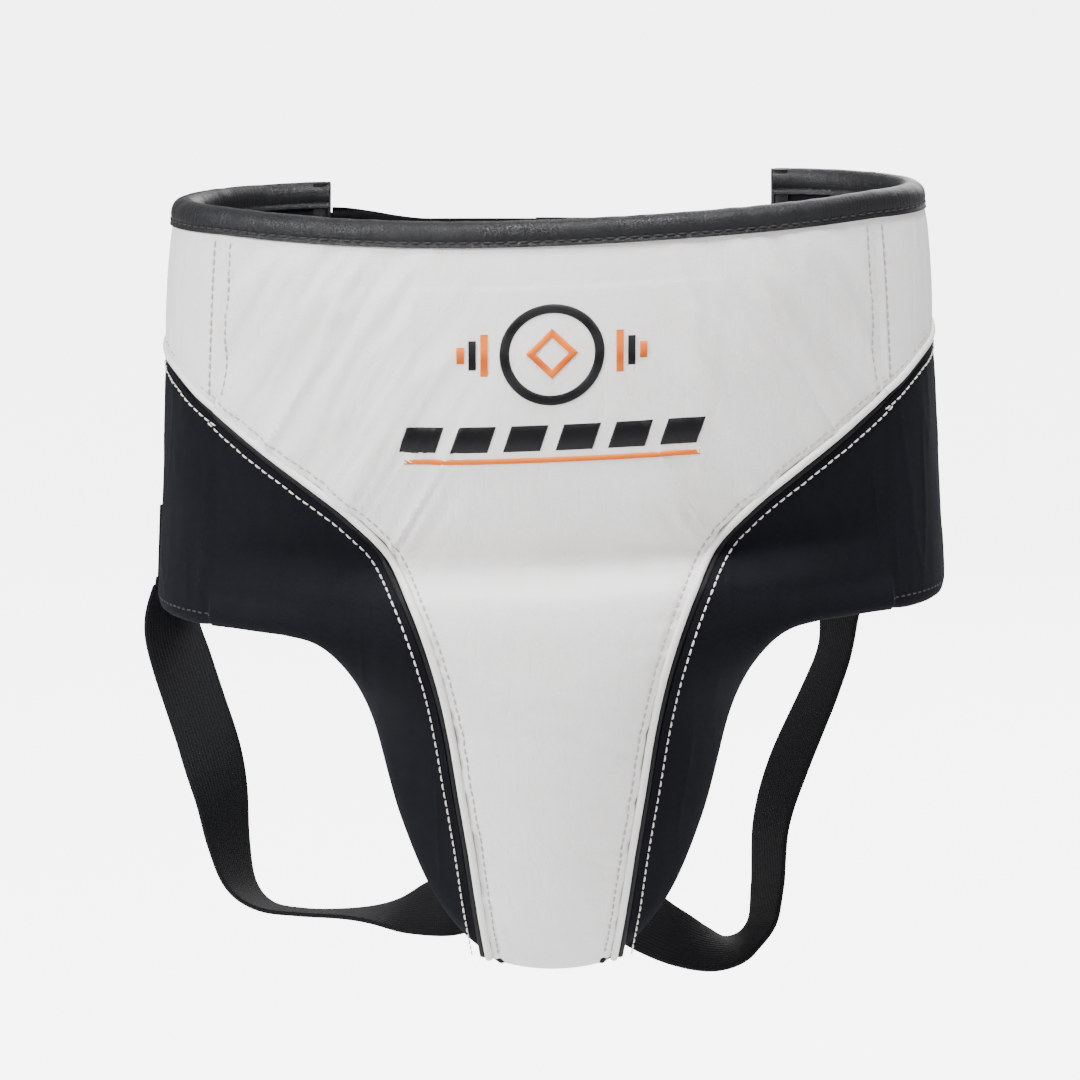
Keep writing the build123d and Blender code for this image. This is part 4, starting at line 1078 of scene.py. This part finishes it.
for name, side in sides:
    path = strapPaths[name]
    turn = math.radians(path["turn"])
    start, tabS = tabPlace(side, path["turn"], tabLow + 0.4, -4.1)
    straight, _ = tabPlace(side, path["turn"], tabLow - 8.2, -4.1)
    direction = np.array([-side * math.sin(turn), math.cos(turn), 0.0])
    places = np.array([start, straight] + [p for p, _ in path["points"]], float)
    across = unit(np.array([direction, direction] + [w for _, w in path["points"]], float))
    both = curveThrough(np.hstack([places, across * 20.0]), 220)
    line, across = both[:, :3], both[:, 3:]
    kernel = np.ones(21) / 21
    across = unit(np.stack([np.convolve(np.pad(across[:, k], 10, mode="edge"), kernel,
                                        "valid") for k in range(3)], 1))
    run = unit(np.gradient(line, axis=0))
    outward = unit(np.cross(run, across))
    strap = tube(f"{name}LegStrap", line, outward,
                 flatProfile(strapShape["width"], strapShape["thickness"], 13), legElastic)
    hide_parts(f"{name}_strap_upper", f"{name}_strap_lower")
    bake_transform(strap)

    # The tab: patch of loop tape on the suede, hook tape, then the strap's doubled end with its stitching.
    def tabSheet(label, halfWide, z0, z1, near, far, material, node, body):
        z = np.linspace(z0, z1, 30)[:, None]
        s = (tabS + np.linspace(-halfWide, halfWide, 24)[None, :]) + 0 * z
        piece = layer(label, s, z + 0 * s, near, far, material)
        declare(piece, [node], body)
        return piece

    tabSheet(f"{name}TabLoop", 23.0, tabLow - 8.0, tabHigh + 8.0, -1.4, 0.4, loopTape, f"{name}_tab_loop",
             f"{name}_wing")
    tabSheet(f"{name}TabHook", 15.4, tabLow, tabHigh, -2.8, -1.7, hookTape, f"{name}_tab_hook", f"{name}_tab")
    tabSheet(f"{name}LegTab", 15.0, tabLow, tabHigh, -5.0, -3.1, legElastic, f"{name}_leg_tab", f"{name}_tab")
    corner = np.array([(-12.0, tabLow + 3), (12.0, tabLow + 3), (12.0, tabHigh - 3), (-12.0, tabHigh - 3),
                       (-12.0, tabLow + 3)])
    box = evenly(corner, 120)
    s = tabS + box[:, 0]
    declare(stitches(f"{name}TabStitches", wall(s, box[:, 1], -5.0), outwardAt(s, box[:, 1], -5.0),
                     threadBlack,
                     pitch=3.4, length=2.6), (), f"{name}_tab")

# The webbing both straps are sewn to, behind the crotch.
u, v = np.meshgrid(np.linspace(-1, 1, 60), np.linspace(-1, 1, 26))
anchorZ = low(0.83) + v * 16.0 * np.clip(1.0 - 0.12 * smoothStep(0.8, 1.0, np.abs(u)), 0, 1)
piece = layer("crotchAnchor", u * 40.0, anchorZ, pad + 0.3, pad + 3.3, legElastic)
declare(piece, ["crotch_anchor"], "front")
corner = np.array([(-36.0, -12.0), (36.0, -12.0), (36.0, 12.0), (-36.0, 12.0), (-36.0, -12.0), (36.0, 12.0)])
box = evenly(corner, 200)
place = wall(box[:, 0], low(0.83) + box[:, 1], pad + 3.3)
declare(stitches("anchorStitches", place, -outwardAt(box[:, 0], low(0.83) + box[:, 1], pad), threadBlack,
                 pitch=3.6, length=2.8), (), "front")
print("straps ready")

# Rear closure: sewn end, wide elastic, stiff end tab with hook tape; loop panel on the other wing.
closure = {"sag": 6.0, "top": -15.0, "height": 75.0, "bow": 5.0, "length": 150.0, "thickness": 2.4,
           "ridges": 1.5}


def closureSheet(name, x0, x1, near, far, z0, z1, material, node, body, cornerCut=0.0):
    radius = closure["length"] ** 2 / (8 * closure["bow"]) + closure["bow"] / 2
    centreX, centreY = -sideX + closure["length"] / 2, rearY + 0.4 + closure["bow"] - radius
    x = np.linspace(x0, x1, 90)[None, :]
    v = np.linspace(0, 1, 60)[:, None]
    cut = cornerCut * (1 - np.sqrt(np.clip(
        1 - np.clip((x - x1 + cornerCut) / max(cornerCut, 1e-6), 0, 1) ** 2, 0, 1)))
    z = z0 + cut + (z1 - z0 - 2 * cut) * v
    x = x + 0 * v
    z = z - closure["sag"] * smoothStep(-sideX, -60.0, x)
    turn = (x - centreX) / radius
    rib = 0.25 * np.cos(z * 2 * math.pi / 2.6) if material is wideElastic else 0.0 * z

    def at(rise):
        return np.stack([centreX + (radius + rise) * np.sin(turn), centreY + (radius + rise) * np.cos(turn),
                         z], -1)

    piece = closedSheet(name, at(far + rib), at(near - rib), np.stack([z, x], axis=-1), material)
    return declare(piece, [node], body)


strapLow, strapHigh = closure["top"] - closure["height"], closure["top"]
thick = closure["thickness"]
elastic = closureSheet("closureElastic", -sideX, -3.0, 0.4, thick - 0.5, strapLow + 0.5, strapHigh - 0.5,
                       wideElastic, "closure_elastic", None)
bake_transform(elastic)
closureSheet("closureTab", -7.6, 40.5, 0.0, thick, strapLow, strapHigh, blackLeather, "closure_tab",
             "closure_end", 10.0)
closureSheet("closureHook", -3.0, 35.0, -1.5, -0.2, strapLow + 6, strapHigh - 6, hookTape, "closure_hook",
             "closure_end")
s = -(endS - np.linspace(-3.0, 14.0, 30)[None, :]) + 0 * np.linspace(0, 1, 50)[:, None]
z = np.linspace(strapLow, strapHigh, 50)[:, None] + 0 * s
piece = layer("closureAnchor", s, z, -4.4, -1.9, blackLeather)
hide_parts("closure_anchor")
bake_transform(piece)
s = (endS - np.linspace(10.6, 81.0, 60)[None, :]) + 0 * np.linspace(0, 1, 50)[:, None]
z = np.linspace(strapLow, strapHigh, 50)[:, None] + 0 * s
piece = layer("closureLoop", s, z, -3.1, -1.2, loopTape)
declare(piece, ["closure_loop"], "right_wing")
print("closure ready")


# Plain pale floor and backdrop, soft light and the camera.
studio = {"floorDrop": 0.62, "size": 16.0, "key": 62.0, "fill": 9.0, "top": 54.0, "rear": 26.0, "room": 0.5}


def plainMaterial(name, colour):
    material = bpy.data.materials.new(name)
    material.use_nodes = True
    shader = material.node_tree.nodes["Principled BSDF"]
    shader.inputs["Base Color"].default_value = (*colour, 1.0)
    shader.inputs["Roughness"].default_value = 0.9
    # The floor looks white to the eye but gives no light of its own to the guard.
    seen = material.node_tree.nodes.new("ShaderNodeLightPath").outputs["Is Camera Ray"]
    glow = mathNode(material.node_tree, "MULTIPLY", seen, 5.0)
    shader.inputs["Emission Color"].default_value = (1.0, 1.0, 1.0, 1.0)
    material.node_tree.links.new(glow, shader.inputs["Emission Strength"])
    return material


edge = np.array([-studio["size"], studio["size"]])
floorGrid = np.stack(np.broadcast_arrays(edge[None, :], edge[:, None], -studio["floorDrop"]), axis=-1)
stagePieces = [makePiece("floor", floorGrid / mm, [[0, 1, 3, 2]],
                         plainMaterial("paleFloor", (0.9, 0.9, 0.9)))]


def softBox(name, place, aim, size, power):
    light = bpy.data.lights.new(name, "AREA")
    light.shape, light.size, light.energy = "SQUARE", size, power
    lamp = bpy.data.objects.new(name, light)
    bpy.context.scene.collection.objects.link(lamp)
    lamp.location = place
    lamp.rotation_euler = (Vector(aim) - Vector(place)).to_track_quat("-Z", "Y").to_euler()
    stagePieces.append(lamp)


softBox("keyLight", (-1.6, -1.0, 0.9), (0, -0.05, -0.15), 0.5, studio["key"])
softBox("fillLight", (1.5, -1.5, 0.3), (0, -0.05, -0.2), 1.2, studio["fill"])
softBox("topLight", (0.2, -0.45, 1.5), (0, 0, -0.1), 0.6, studio["top"])
softBox("rearLight", (0.7, 1.9, 0.7), (0, 0.05, -0.2), 1.2, studio["rear"])
world = bpy.data.worlds.new("paleRoom")
bpy.context.scene.world = world
world.use_nodes = True
world.node_tree.nodes["Background"].inputs["Color"].default_value = (1.0, 1.0, 1.0, 1.0)
seen = world.node_tree.nodes.new("ShaderNodeLightPath").outputs["Is Camera Ray"]
glow = mathNode(world.node_tree, "MULTIPLY_ADD", seen, 5.0, studio["room"])
world.node_tree.links.new(glow, world.node_tree.nodes["Background"].inputs["Strength"])

viewPoint = {"place": (-0.0055, -2.0665, 0.1905), "tilt": -9.82, "lens": 144.9}
camera = bpy.data.cameras.new("camera")
camera.lens, camera.sensor_width = viewPoint["lens"], 36.0
camera.clip_start, camera.clip_end = 0.05, 50.0
eye = bpy.data.objects.new("camera", camera)
bpy.context.scene.collection.objects.link(eye)
eye.location = viewPoint["place"]
eye.rotation_euler = (math.radians(90.0 + viewPoint["tilt"]), 0.0, 0.0)
bpy.context.scene.camera = eye
print("studio ready")
